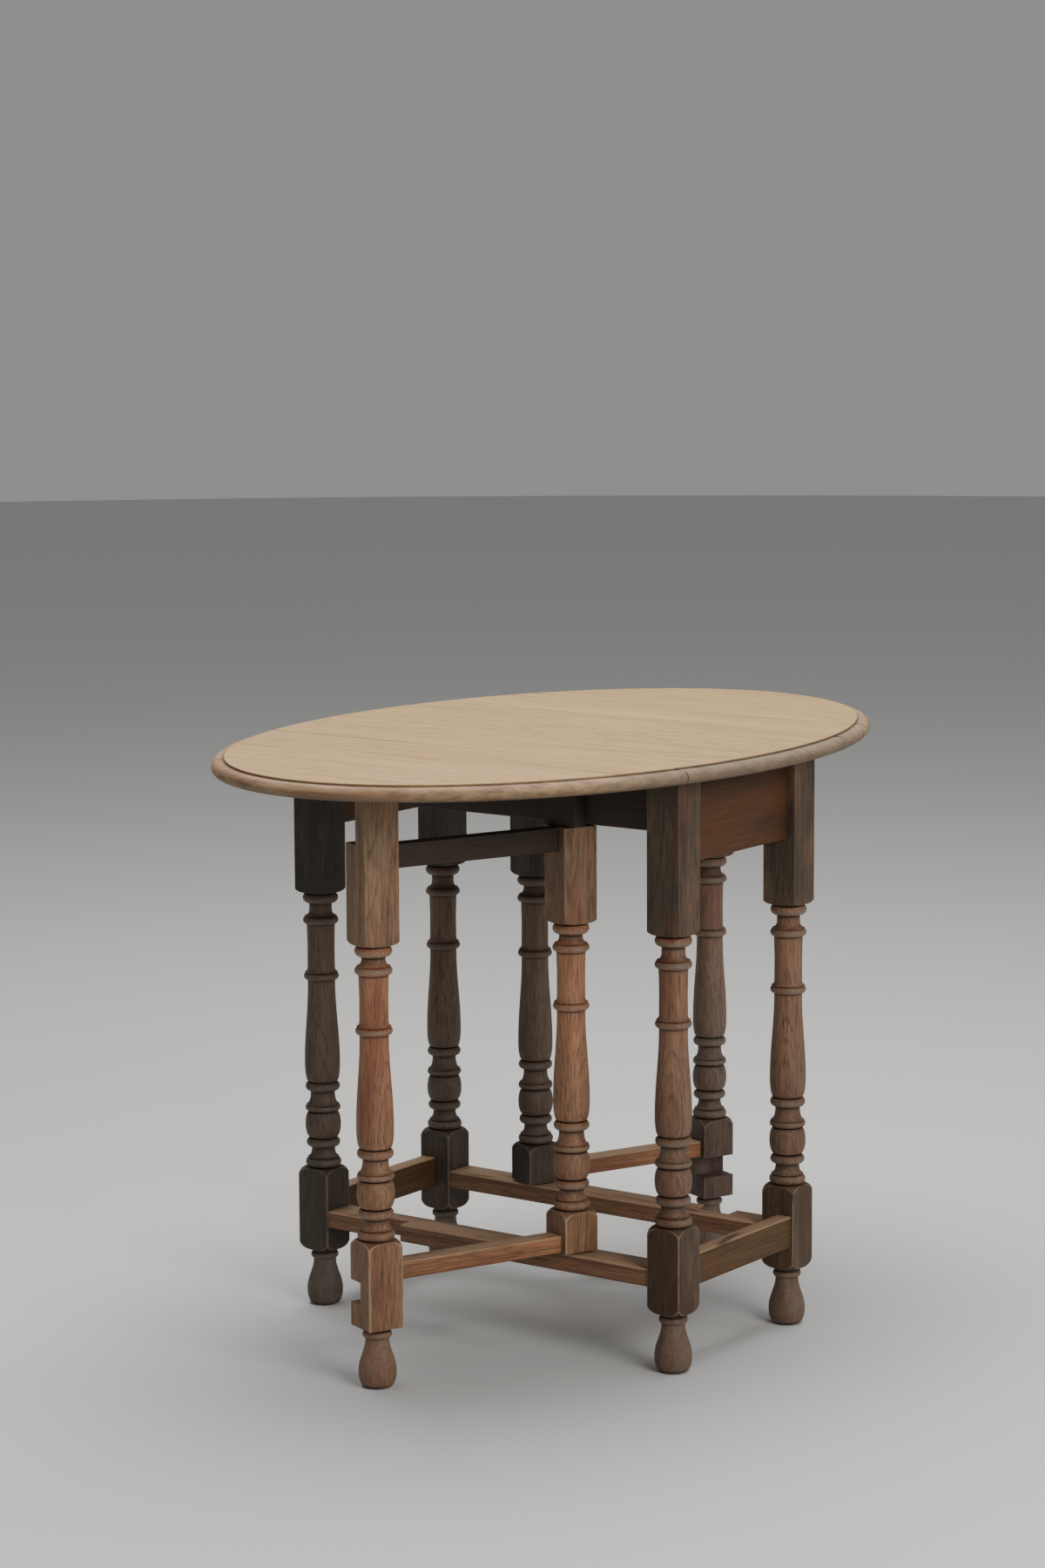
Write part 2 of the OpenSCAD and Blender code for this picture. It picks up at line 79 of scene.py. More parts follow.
class Bench:
    """Modelling steps, each made of Blender's own operators."""

    @staticmethod
    def clear() -> None:
        """Leaves edit mode and deselects everything."""
        if bpy.context.object and bpy.context.object.mode != "OBJECT":
            bpy.ops.object.mode_set(mode="OBJECT")
        bpy.ops.object.select_all(action="DESELECT")

    @staticmethod
    def pick(piece: bpy.types.Object) -> None:
        """Selects one piece and makes it active.

        Args:
            piece: The piece to work on.
        """
        Bench.clear()
        piece.select_set(True)
        bpy.context.view_layer.objects.active = piece

    @staticmethod
    def fix(name: str) -> bpy.types.Object:
        """Names the active object and moves its place into its mesh.

        Args:
            name: The name for it and its mesh.

        Returns:
            The object.
        """
        piece = bpy.context.object
        piece.name = piece.data.name = name
        bpy.ops.object.transform_apply(location=True, rotation=True, scale=True)
        return piece

    @staticmethod
    def box(name: str, low: Sequence[float], high: Sequence[float]) -> bpy.types.Object:
        """Adds a block between two corners.

        Args:
            name: The object's name.
            low: Lowest corner, in metres.
            high: Highest corner, in metres.

        Returns:
            The block.
        """
        low, high = Vector(low), Vector(high)
        Bench.clear()
        bpy.ops.mesh.primitive_cube_add(size=1, location=(low + high) / 2, scale=high - low)
        return Bench.fix(name)

    @staticmethod
    def rod(name: str, centre: Sequence[float], radius: float, length: float, along_x: bool = False,
            sides: int = 48) -> bpy.types.Object:
        """Adds a round rod along Z, or along X.

        Args:
            name: The object's name.
            centre: Its middle, in metres.
            radius: Its radius.
            length: Its length.
            along_x: Whether it lies along X.
            sides: How many sides its circle has.

        Returns:
            The rod.
        """
        Bench.clear()
        turn = (0, math.pi / 2, 0) if along_x else (0, 0, 0)
        bpy.ops.mesh.primitive_cylinder_add(vertices=sides, radius=radius, depth=length, location=centre,
                                            rotation=turn)
        return Bench.fix(name)

    @staticmethod
    def turn(name: str, outline: Sequence[Point], segments: int = 64) -> bpy.types.Object:
        """Turns an outline about the Z axis, as on a lathe.

        Args:
            name: The object's name.
            outline: Points of radius and height, from the axis at the foot to the axis at the top.
            segments: How many steps the spin has.

        Returns:
            A closed solid of revolution.
        """
        Bench.clear()
        bpy.ops.mesh.primitive_plane_add(size=1, location=(0, 0, 0))
        piece = Bench.fix(name)
        bpy.ops.object.mode_set(mode="EDIT")
        bpy.ops.mesh.select_mode(type="VERT")
        bpy.ops.mesh.select_all(action="SELECT")
        bpy.ops.mesh.merge(type="COLLAPSE")
        bpy.ops.mesh.select_all(action="SELECT")
        bpy.ops.transform.translate(value=(outline[0][0], 0, outline[0][1]))
        for (r0, z0), (r1, z1) in zip(outline, outline[1:]):
            bpy.ops.mesh.extrude_region_move(TRANSFORM_OT_translate={"value": (r1 - r0, 0, z1 - z0)})
        bpy.ops.mesh.select_all(action="SELECT")
        bpy.ops.mesh.spin(steps=segments, angle=2 * math.pi, center=(0, 0, 0), axis=(0, 0, 1))
        bpy.ops.mesh.select_all(action="SELECT")
        bpy.ops.mesh.remove_doubles(threshold=0.01 * MM)
        bpy.ops.mesh.normals_make_consistent(inside=False)
        bpy.ops.object.mode_set(mode="OBJECT")
        return piece

    @staticmethod
    def cut(piece: bpy.types.Object, tool: bpy.types.Object, how: Cut = Cut.AWAY) -> bpy.types.Object:
        """Cuts a piece with a tool, which is used up.

        Args:
            piece: The piece to change.
            tool: A closed solid.
            how: Whether what the tool covers is cut away or kept.

        Returns:
            The piece.
        """
        Bench.pick(piece)
        change = piece.modifiers.new("cut", "BOOLEAN")
        change.operation = how.value
        change.solver = "EXACT"
        change.object = tool
        bpy.ops.object.modifier_apply(modifier="cut")
        bpy.data.objects.remove(tool)
        return piece

    @staticmethod
    def soften(piece: bpy.types.Object, width: float, segments: int = 3, sharper_than: float = 40) -> None:
        """Rounds a piece's sharp edges.

        Args:
            piece: The piece to change.
            width: Width of the rounding, in metres.
            segments: Steps in the rounding.
            sharper_than: Smallest angle between faces that is rounded, in degrees.
        """
        Bench.pick(piece)
        change = piece.modifiers.new("soften", "BEVEL")
        change.width, change.segments = width, segments
        change.limit_method, change.angle_limit = "ANGLE", math.radians(sharper_than)
        change.use_clamp_overlap = True
        bpy.ops.object.modifier_apply(modifier="soften")

    @staticmethod
    def place(piece: bpy.types.Object, centre: Sequence[float], angle: float = 0) -> None:
        """Turns a piece about Z and moves it, with the change kept in its mesh.

        Args:
            piece: A piece made at the origin.
            centre: Where its origin goes.
            angle: Its turn about Z, in radians.
        """
        Bench.pick(piece)
        piece.rotation_euler = (0, 0, angle)
        piece.location = (centre[0], centre[1], 0)
        bpy.ops.object.transform_apply(location=True, rotation=True, scale=True)

    @staticmethod
    def copy(piece: bpy.types.Object, name: str) -> bpy.types.Object:
        """Copies a piece with a mesh of its own.

        Args:
            piece: The piece to copy.
            name: The copy's name.

        Returns:
            The copy.
        """
        Bench.pick(piece)
        bpy.ops.object.duplicate(linked=False)
        twin = bpy.context.object
        twin.name = twin.data.name = name
        return twin

    @staticmethod
    def smooth(piece: bpy.types.Object, angle: float = 38) -> None:
        """Shades smooth across edges flatter than an angle in degrees."""
        Bench.pick(piece)
        bpy.ops.object.shade_smooth_by_angle(angle=math.radians(angle))


# ---------------------------------------------------------------- shader expressions


class Wire:
    """A shader socket that takes part in Python expressions as a number does."""

    def __init__(self, graph: "Graph", socket: bpy.types.NodeSocket) -> None:
        """Keeps the graph that new nodes go to, and the socket."""
        self.graph, self.socket = graph, socket

    def _math(self, operation: str, first: Operand, second: Operand = 0.0) -> "Wire":
        """Adds one Math node."""
        return self.graph.node("ShaderNodeMath", {"operation": operation}, {0: first, 1: second})

    def __add__(self, other: Operand) -> "Wire":
        """Sum."""
        return self._math("ADD", self, other)

    __radd__ = __add__

    def __sub__(self, other: Operand) -> "Wire":
        """Difference."""
        return self._math("SUBTRACT", self, other)

    def __rsub__(self, other: Operand) -> "Wire":
        """Difference from a number."""
        return self._math("SUBTRACT", other, self)

    def __mul__(self, other: Operand) -> "Wire":
        """Product."""
        return self._math("MULTIPLY", self, other)

    __rmul__ = __mul__

    def __truediv__(self, other: Operand) -> "Wire":
        """Quotient."""
        return self._math("DIVIDE", self, other)

    def __rtruediv__(self, other: Operand) -> "Wire":
        """Quotient of a number by this."""
        return self._math("DIVIDE", other, self)

    def __abs__(self) -> "Wire":
        """Size without sign."""
        return self._math("ABSOLUTE", self)

    def root(self) -> "Wire":
        """Square root."""
        return self._math("SQRT", self)

    def fraction(self) -> "Wire":
        """What is left above the whole number below."""
        return self._math("FRACT", self)

    def floor(self) -> "Wire":
        """Whole number below."""
        return self._math("FLOOR", self)

    def least(self, other: Operand) -> "Wire":
        """The smaller of two."""
        return self._math("MINIMUM", self, other)

    def most(self, other: Operand) -> "Wire":
        """The larger of two."""
        return self._math("MAXIMUM", self, other)

    def rise(self, low: float, high: float) -> "Wire":
        """Runs smoothly from 0 at low to 1 at high.

        Args:
            low: Value where it leaves 0.
            high: Value where it reaches 1, which may be the smaller one.

        Returns:
            A mask from 0 to 1.
        """
        if low > high:
            return 1 - self.rise(high, low)
        return self.graph.node("ShaderNodeMapRange", {"interpolation_type": "SMOOTHSTEP"},
                               {"Value": self, "From Min": low, "From Max": high})


class Graph:
    """One material's node tree."""

    def __init__(self, name: str) -> None:
        """Starts an empty material with a Principled shader.

        Args:
            name: The material's name.
        """
        self.material = bpy.data.materials.new(name)
        self.material.use_nodes = True
        self.tree = self.material.node_tree
        self.tree.nodes.clear()
        self.shader = self.tree.nodes.new("ShaderNodeBsdfPrincipled")
        output = self.tree.nodes.new("ShaderNodeOutputMaterial")
        self.tree.links.new(self.shader.outputs["BSDF"], output.inputs["Surface"])

    def node(self, kind: str, settings: dict, sockets: dict, output: Union[int, str] = 0) -> Wire:
        """Adds a node.

        Args:
            kind: The node's type.
            settings: Its own settings, set first.
            sockets: Values or wires by socket name or number.
            output: Which output to return.

        Returns:
            That output.
        """
        made = self.tree.nodes.new(kind)
        for name, value in settings.items():
            setattr(made, name, value)
        for name, value in sockets.items():
            if isinstance(value, Wire):
                self.tree.links.new(value.socket, made.inputs[name])
            else:
                made.inputs[name].default_value = value
        return Wire(self, made.outputs[output])

    def feed(self, socket: str, value: Union[Wire, float, Sequence[float]]) -> None:
        """Sets or links one of the shader's sockets.

        Args:
            socket: The socket's name.
            value: A wire to link, or a value to set.
        """
        if isinstance(value, Wire):
            self.tree.links.new(value.socket, self.shader.inputs[socket])
        else:
            self.shader.inputs[socket].default_value = value

    def vector(self, x: Operand, y: Operand, z: Operand) -> Wire:
        """Puts three numbers together."""
        return self.node("ShaderNodeCombineXYZ", {}, {"X": x, "Y": y, "Z": z})

    def noise(self, x: Operand, y: Operand, z: Operand, detail: float = 2.0, rough: float = 0.5) -> Wire:
        """Noise from 0 to 1 at a point.

        Args:
            x: First coordinate, with its scale in it.
            y: Second coordinate.
            z: Third coordinate.
            detail: How many finer layers it has.
            rough: How strong the finer layers are.

        Returns:
            The noise.
        """
        sockets = {"Vector": self.vector(x, y, z), "Scale": 1.0, "Detail": detail, "Roughness": rough}
        return self.node("ShaderNodeTexNoise", {"noise_dimensions": "3D"}, sockets)

    def blend(self, amount: Operand, first: Union[Wire, Colour], second: Union[Wire, Colour]) -> Wire:
        """Mixes two colours.

        Args:
            amount: How much of the second there is.
            first: A colour or a wire.
            second: A colour or a wire.

        Returns:
            The mixed colour.
        """
        first, second = [c if isinstance(c, Wire) else (*c, 1.0) for c in (first, second)]
        return self.node("ShaderNodeMix", {"data_type": "RGBA", "blend_type": "MIX", "clamp_factor": True},
                         {0: amount, 6: first, 7: second}, 2)

    def times(self, first: Union[Wire, Colour], second: Union[Wire, Colour]) -> Wire:
        """Multiplies two colours."""
        return self.node("ShaderNodeVectorMath", {"operation": "MULTIPLY"}, {0: first, 1: second})


@dataclass(frozen=True)
class Lie:
    """How a piece of timber lies: its own origin, its turn about Z and the way its grain runs."""

    grain: Grain
    centre: Point = (0.0, 0.0)
    turn: float = 0.0
    seed: float = 0.0


@dataclass(frozen=True)
class Oak:
    """Stripped oak: growth rings, fibre, open pores and what is left of an old stain."""

    pale: Colour
    deep: Colour
    stain: Colour
    pore: Colour = (0.022, 0.013, 0.009)
    stain_share: float = 0.7
    ring_gap: float = 3.2 * MM
    ring_strength: float = 0.55
    pore_strength: float = 0.7
    dash_strength: float = 0.8
    dash_rate: float = 36.0
    streak_strength: float = 1.5
    tone_spread: float = 0.22
    roughness: float = 0.64
    relief: float = 0.4

    def space(self, graph: Graph, lie: Lie) -> tuple[Wire, Wire, Wire]:
        """Coordinates along the grain and across it, in the timber's own frame.

        Args:
            graph: The material being built.
            lie: How the timber lies.

        Returns:
            Distance along the grain and the two distances across it.
        """
        here = graph.node("ShaderNodeTexCoord", {}, {}, "Object")
        local = graph.node("ShaderNodeMapping", {"vector_type": "TEXTURE"},
                           {"Vector": here, "Location": (*lie.centre, 0), "Rotation": (0, 0, lie.turn)})
        axes = [graph.node("ShaderNodeSeparateXYZ", {}, {0: local}, i) for i in range(3)]
        first = lie.grain.value
        return axes[first], axes[(first + 1) % 3], axes[(first + 2) % 3]

    def timber(self, graph: Graph, lie: Lie, u: Wire, v: Wire, w: Wire, shift: Operand) -> tuple[Wire, Wire]:
        """The bare wood's colour and its surface height.

        Args:
            graph: The material being built.
            lie: How the timber lies.
            u: Distance along the grain.
            v: Distance across it.
            w: The other distance across it.
            shift: Moves the whole pattern, as from one plank to the next.

        Returns:
            The colour, and the height from about 0 to 1.
        """
        seed = lie.seed + shift * 7.3
        sway = graph.noise(u * 2.2 + seed, v * 9, w * 9, 3.0)
        depth = w - 0.055 + u * 0.035 + (sway - 0.5) * 0.012
        across = v + shift * 0.031 + 0.018 + (sway - 0.5) * 0.02
        ring = ((across * across + depth * depth).root() / self.ring_gap + sway * 1.6).fraction()
        early = ring.rise(0.42, 0.0)
        fibre = graph.noise(u * 9 + seed, v * 520, w * 520, 3.0, 0.6)
        streak = graph.noise(u * 3.5 + seed, v * 150, w * 150, 2.0)
        pores = graph.noise(u * 38 + seed, v * 1100, w * 1100, 1.0)
        dashes = graph.noise(u * self.dash_rate + seed, v * 640 + 7, w * 640, 3.0, 0.65)
        cloud = graph.noise(u * 5 + seed, v * 22, w * 22, 3.0, 0.6)
        holes = pores.rise(0.55, 0.68) * (0.4 + early * 0.6)
        holes = holes.most(dashes.rise(0.46, 0.72) * self.dash_strength)
        tone = early * self.ring_strength + (fibre - 0.5) * 1.6 + (streak - 0.42) * self.streak_strength
        colour = graph.blend(tone.rise(-0.25, 1.0), self.pale, self.deep)
        colour = graph.blend(cloud.rise(0.44, 0.72) * self.stain_share, colour, self.stain)
        colour = graph.blend(holes * self.pore_strength, colour, self.pore)
        level = 1 + (cloud - 0.5) * self.tone_spread * 2
        grey = graph.vector(level, level, level)
        colour = graph.times(colour, grey)
        height = 0.75 - holes * 0.7 + (fibre - 0.5) * 0.5 - early * 0.12
        return colour, height

    def finish(self, graph: Graph, colour: Wire, height: Wire, rough: Operand) -> bpy.types.Material:
        """Joins colour, roughness and relief to the shader.

        Args:
            graph: The material being built.
            colour: The finished colour.
            height: The height of the surface, from about 0 to 1.
            rough: Its roughness.

        Returns:
            The material.
        """
        graph.feed("Base Color", colour)
        graph.feed("Roughness", rough)
        graph.feed("Specular IOR Level", SHEEN_OF_WOOD)
        bump = graph.node("ShaderNodeBump", {},
                          {"Strength": self.relief, "Distance": GRAIN_DEPTH, "Height": height})
        graph.feed("Normal", bump)
        return graph.material


@dataclass(frozen=True)
class RailOak(Oak):
    """Oak of a square rail, paler where its upper face is rubbed and dark below, with painted shadow of the
    top over its upper part.
    """

    pore: Colour = (0.020, 0.012, 0.008)
    rubbed: Colour = (0.45, 0.295, 0.18)
    shade: float = 0.0
    low: float = 0.0
    high: float = 0.1

    def material(self, name: str, lie: Lie) -> bpy.types.Material:
        """Makes the material of one rail.

        Args:
            name: The material's name.
            lie: How the timber lies.

        Returns:
            The material.
        """
        graph = Graph(name)
        u, v, w = self.space(graph, lie)
        colour, height = self.timber(graph, lie, u, v, w, 0.0)
        here = graph.node("ShaderNodeTexCoord", {}, {}, "Object")
        z = graph.node("ShaderNodeSeparateXYZ", {}, {0: here}, 2)
        scuff = graph.noise(u * 14, v * 60, w * 60, 3.0)
        rubbed = z.rise(self.high - 2.2 * MM, self.high - 0.6 * MM) * scuff.rise(0.22, 0.5)
        colour = graph.blend(rubbed * 0.75, colour, self.rubbed)
        colour = graph.blend(z.rise(self.low + 1.5 * MM, self.low) * 0.6, colour, self.pore)
        # Painted shadow of the top: the rail's upper part darkened in patches, with the pore colour standing
        # in for the shade.
        patches = 0.5 + graph.noise(u * 6, v * 6, w * 14, 3.0)
        shadow_of_top = z.rise(self.high - 55 * MM, self.high - 5 * MM) * patches
        colour = graph.blend(shadow_of_top * self.shade, colour, self.pore)
        return self.finish(graph, colour, height, self.roughness)


@dataclass(frozen=True)
class LegOak(Oak):
    """Oak of a leg: rings rubbed pale, hollows darkened by soiling and painted shade, the lower leg darker
    with painted shade, arrises of the square blocks worn.
    """

    stain_share: float = 0.66
    ring_gap: float = 2.6 * MM
    ring_strength: float = 0.3
    pore_strength: float = 0.8
    dash_rate: float = 42.0
    streak_strength: float = 0.9
    tone_spread: float = 0.28
    roughness: float = 0.62
    relief: float = 0.45
    worn: Colour = (0.15, 0.117, 0.085)
    rubbed: Colour = (0.185, 0.137, 0.093)
    dust: Colour = (0.15, 0.125, 0.10)
    grime_and_shade: Colour = (0.035, 0.024, 0.017)
    block: Colour = (0.35, 0.375, 0.33)
    # low_tint and high_tint paint shade by height: the lower leg darker and cooler, the upper leg warmer and
    # lighter.
    low_tint: Colour = (0.80, 0.83, 0.81)
    high_tint: Colour = (1.12, 1.04, 0.94)
    cooler: Colour = (0.86, 1.04, 1.14)
    half: float = 22.5 * MM
    blocks: tuple[Point, ...] = ()
    shoulder: float = 13 * MM
    corner: float = 32.3 * MM
    arch_foot: bool = True

    def arris(self, graph: Graph, u: Wire, v: Wire, w: Wire, square: Wire) -> Wire:
        """Mask of the rubbed edges of the lower block: its arrises and the arches that end its faces.

        Args:
            graph: The material being built.
            u: Height.
            v: Distance from the axis along one side.
            w: Distance from the axis along the other.
            square: Mask of the blocks.

        Returns:
            The mask.
        """
        low_end, high_end = self.blocks[0]
        ends = [(high_end, -1)] + ([(low_end, 1)] if self.arch_foot else [])
        reach = ((v * v) + (w * w)).root()
        face = abs(v).most(abs(w)).rise(self.half - 0.9 * MM, self.half - 0.2 * MM)
        inner = self.half - 1 * MM
        low = u.rise(high_end + 2 * MM, high_end)
        mask = abs(v).least(abs(w)).rise(self.half - 2.4 * MM, self.half - 0.6 * MM) * (0.15 + low * 0.65)
        for end, way in ends:
            part = ((u - end) * (way / self.shoulder)).most(0.0).least(1.0)
            arch = (part * (2 - part)).root() * (self.corner - inner) + inner
            mask = mask.most((arch - reach).rise(2.0 * MM, 0.4 * MM) * face * low * 0.8)
        return mask * square

    def material(self, name: str, lie: Lie) -> bpy.types.Material:
        """Makes the material of one leg.

        Args:
            name: The material's name.
            lie: How the timber lies.

        Returns:
            The material.
        """
        graph = Graph(name)
        u, v, w = self.space(graph, lie)
        colour, height = self.timber(graph, lie, u, v, w, 0.0)
        relief = graph.node("ShaderNodeAttribute", {"attribute_name": "relief"}, {}, "Fac")
        crease = graph.node("ShaderNodeAttribute", {"attribute_name": "crease"}, {}, "Fac")
        scuff = graph.noise(u * 60 + lie.seed, v * 60, w * 60, 3.0, 0.6)
        cover = graph.noise(u * 9 + lie.seed, v * 30, w * 30, 3.0, 0.6).rise(0.35, 0.62)
        square: Operand = 0.0
        for low, high in self.blocks:
            square = u.rise(low - 1 * MM, low + 1 * MM) * u.rise(high + 1 * MM, high - 1 * MM) + square
        # Painted shade by height: darker and cooler towards the foot, warmer above.
        height_shade = graph.blend(u.rise(0.23, 0.45), self.low_tint, self.high_tint)
        upper = tuple(part * cool for part, cool in zip(self.block, self.cooler))
        block = graph.blend(u.rise(0.3, 0.5), self.block, upper)
        # Old finish darkens the square blocks; elsewhere this carries the painted shade by height.
        tint_and_height_shade = graph.blend(square * (0.6 + cover * 0.4), height_shade, block)
        colour = graph.times(colour, tint_and_height_shade)
        arris = self.arris(graph, u, v, w, square)
        worn = relief.rise(0.32, 0.85) * (1 - square) * scuff.rise(0.25, 0.55)
        colour = graph.blend(worn, colour, self.worn)
        colour = graph.blend(arris * scuff.rise(0.2, 0.5), colour, self.rubbed)
        # Hollows and creases darkened partly by grime and partly by painted shade that gathers in them.
        hollow = relief.rise(-0.12, -0.8) * 0.6 * (1 - square)
        colour = graph.blend(crease.rise(-0.06, -0.34) * 0.9 + hollow, colour, self.grime_and_shade)
        foot = u.rise(self.blocks[0][0], self.blocks[0][0] - 12 * MM)
        colour = graph.blend(foot * scuff.rise(0.1, 0.8) * 0.45, colour, self.dust)
        sole = u.rise(6 * MM, 0.5 * MM)
        colour = graph.blend(sole * 0.7, colour, self.grime_and_shade)
        return self.finish(graph, colour, height, self.roughness - worn * 0.1)


@dataclass(frozen=True)
class TopOak(Oak):
    """Oak of the glued-up top: planks along X, a darker moulded edge with painted shade under its roll and
    in its quirk, and a raw underside.
    """

    pale: Colour = (0.535, 0.35, 0.166)
    deep: Colour = (0.26, 0.15, 0.066)
    stain: Colour = (0.42, 0.243, 0.107)
    pore: Colour = (0.13, 0.08, 0.04)
    stain_share: float = 0.45
    ring_strength: float = 0.13
    pore_strength: float = 0.58
    dash_rate: float = 38.0
    streak_strength: float = 1.6
    tone_spread: float = 0.12
    roughness: float = 0.66
    relief: float = 0.22
    mould: Colour = (0.165, 0.103, 0.060)
    mould_pale: Colour = (0.40, 0.265, 0.15)
    mould_red: Colour = (0.20, 0.085, 0.045)
    end_grain: Colour = (0.15, 0.12, 0.095)
    underside: Colour = (0.10, 0.062, 0.038)
    grime_and_shade: Colour = (0.045, 0.028, 0.018)
    joint: float = 0.1724
    plank: float = 88 * MM
    field_x: float = 0.3165
    field_y: float = 0.4895
    top: float = 0.725
    under: float = 0.706

    def material(self, name: str, lie: Lie) -> bpy.types.Material:
        """Makes the material of one board of the top.

        Args:
            name: The material's name.
            lie: How the timber lies.

        Returns:
            The material.
        """
        graph = Graph(name)
        u, v, w = self.space(graph, lie)
        index = (v / self.plank + lie.seed).floor()
        shift = graph.node("ShaderNodeTexWhiteNoise", {"noise_dimensions": "1D"}, {"W": index + lie.seed})
        colour, height = self.timber(graph, lie, u, v, w, shift)
        level = 0.93 + shift * 0.14
        grey = graph.vector(level, level, level * 0.99)
        colour = graph.times(colour, grey)
        seam = abs((v / self.plank + lie.seed).fraction() - 0.5).rise(0.494, 0.4985)
        colour = graph.blend(seam * 0.35, colour, self.pore)
        reach = ((u * u) / self.field_x ** 2 + (v * v) / self.field_y ** 2).root()
        rim = reach.rise(1.0005, 1.0012).most(w.rise(self.top - 0.5 * MM, self.top - 0.9 * MM))
        blotch = graph.noise(u * 14 + 3, v * 60, w * 160, 4.0, 0.62)
        wiped = graph.noise(u * 9, v * 9 + 5, w * 30, 3.0)
        edge = graph.blend(blotch.rise(0.22, 0.72), self.mould, self.mould_pale)
        edge = graph.blend(wiped.rise(0.50, 0.70) * 0.45, edge, self.mould_red)
        edge = graph.blend(abs(u / self.field_x).rise(0.80, 1.0) * 0.6, edge, self.end_grain)
        edge = graph.blend(height.rise(0.7, 0.2) * 0.35, edge, self.pore)
        # Painted shade on the lower half of the roll.
        edge = graph.blend(w.rise(self.under + 11 * MM, self.under + 2 * MM) * 0.5, edge, self.grime_and_shade)
        # Painted shadow in the step of the quirk.
        quirk = reach.rise(1.012, 1.001) * w.rise(self.top - 0.8 * MM, self.top - 1.6 * MM)
        edge = graph.blend(quirk * 0.55, edge, self.grime_and_shade)
        colour = graph.blend(rim, colour, edge)
        joint = abs(abs(v) - self.joint).rise(1.7 * MM, 0.5 * MM)
        colour = graph.blend(joint * (rim * 0.45 + 0.35), colour, self.grime_and_shade)
        below = w.rise(self.under + 3 * MM, self.under + 0.8 * MM)
        colour = graph.blend(below * 0.85, colour, self.underside)
        return self.finish(graph, colour, height, self.roughness + blotch * 0.08)


@dataclass(frozen=True)
class OldSteel:
    """Dull steel that has browned with age."""

    bare: Colour = (0.30, 0.285, 0.26)
    rust: Colour = (0.16, 0.075, 0.035)

    def material(self, name: str) -> bpy.types.Material:
        """Makes the material.

        Args:
            name: The material's name.

        Returns:
            The material.
        """
        graph = Graph(name)
        here = graph.node("ShaderNodeTexCoord", {}, {}, "Object")
        x, y, z = [graph.node("ShaderNodeSeparateXYZ", {}, {0: here}, i) for i in range(3)]
        spots = graph.noise(x * 160, y * 160, z * 160, 4.0, 0.6)
        fine = graph.noise(x * 900, y * 900, z * 900, 2.0)
        rust = spots.rise(0.46, 0.64)
        graph.feed("Base Color", graph.blend(rust * 0.8, self.bare, self.rust))
        graph.feed("Metallic", 1 - rust * 0.75)
        graph.feed("Roughness", 0.42 + rust * 0.35 + fine * 0.08)
        bump = graph.node("ShaderNodeBump", {},
                          {"Strength": 0.25, "Distance": PIT_DEPTH, "Height": spots + fine * 0.4})
        graph.feed("Normal", bump)
        return graph.material


# ---------------------------------------------------------------- outlines of turned work


def arc(z0: float, z1: float, r0: float, r1: float, steps: int = 10) -> list[Point]:
    """Half-ellipse that swells from radius r0 to r1 and back, in millimetres.

    Args:
        z0: Height where it starts.
        z1: Height where it ends.
        r0: Radius at both ends.
        r1: Radius at the middle.
        steps: How many steps it has.

    Returns:
        Points of radius and height.
    """
    mid, reach = (z0 + z1) / 2, (z1 - z0) / 2
    turns = [math.pi * i / steps for i in range(steps + 1)]
    return [(r0 + (r1 - r0) * math.sin(a), mid - reach * math.cos(a)) for a in turns]


def sway(z0: float, r0: float, z1: float, r1: float, steps: int = 14) -> list[Point]:
    """Smooth change of radius between two heights, in millimetres."""
    parts = [i / steps for i in range(steps + 1)]
    return [(r0 + (r1 - r0) * (1 - math.cos(math.pi * t)) / 2, z0 + (z1 - z0) * t) for t in parts]


def swell(z0: float, r0: float, z1: float, r1: float, steps: int = 10) -> list[Point]:
    """Quarter round that swells from r0 to r1 as it rises, in millimetres."""
    turns = [math.pi / 2 * i / steps for i in range(steps + 1)]
    return [(r0 + (r1 - r0) * math.sin(a), z1 - (z1 - z0) * math.cos(a)) for a in turns]


def flare(z0: float, r0: float, z1: float, r1: float, steps: int = 8) -> list[Point]:
    """Hollow quarter round that narrows from r0 to r1 as it rises, in millimetres."""
    turns = [math.pi / 2 * i / steps for i in range(steps + 1)]
    return [(r0 + (r1 - r0) * math.sin(a), z0 + (z1 - z0) * (1 - math.cos(a))) for a in turns]


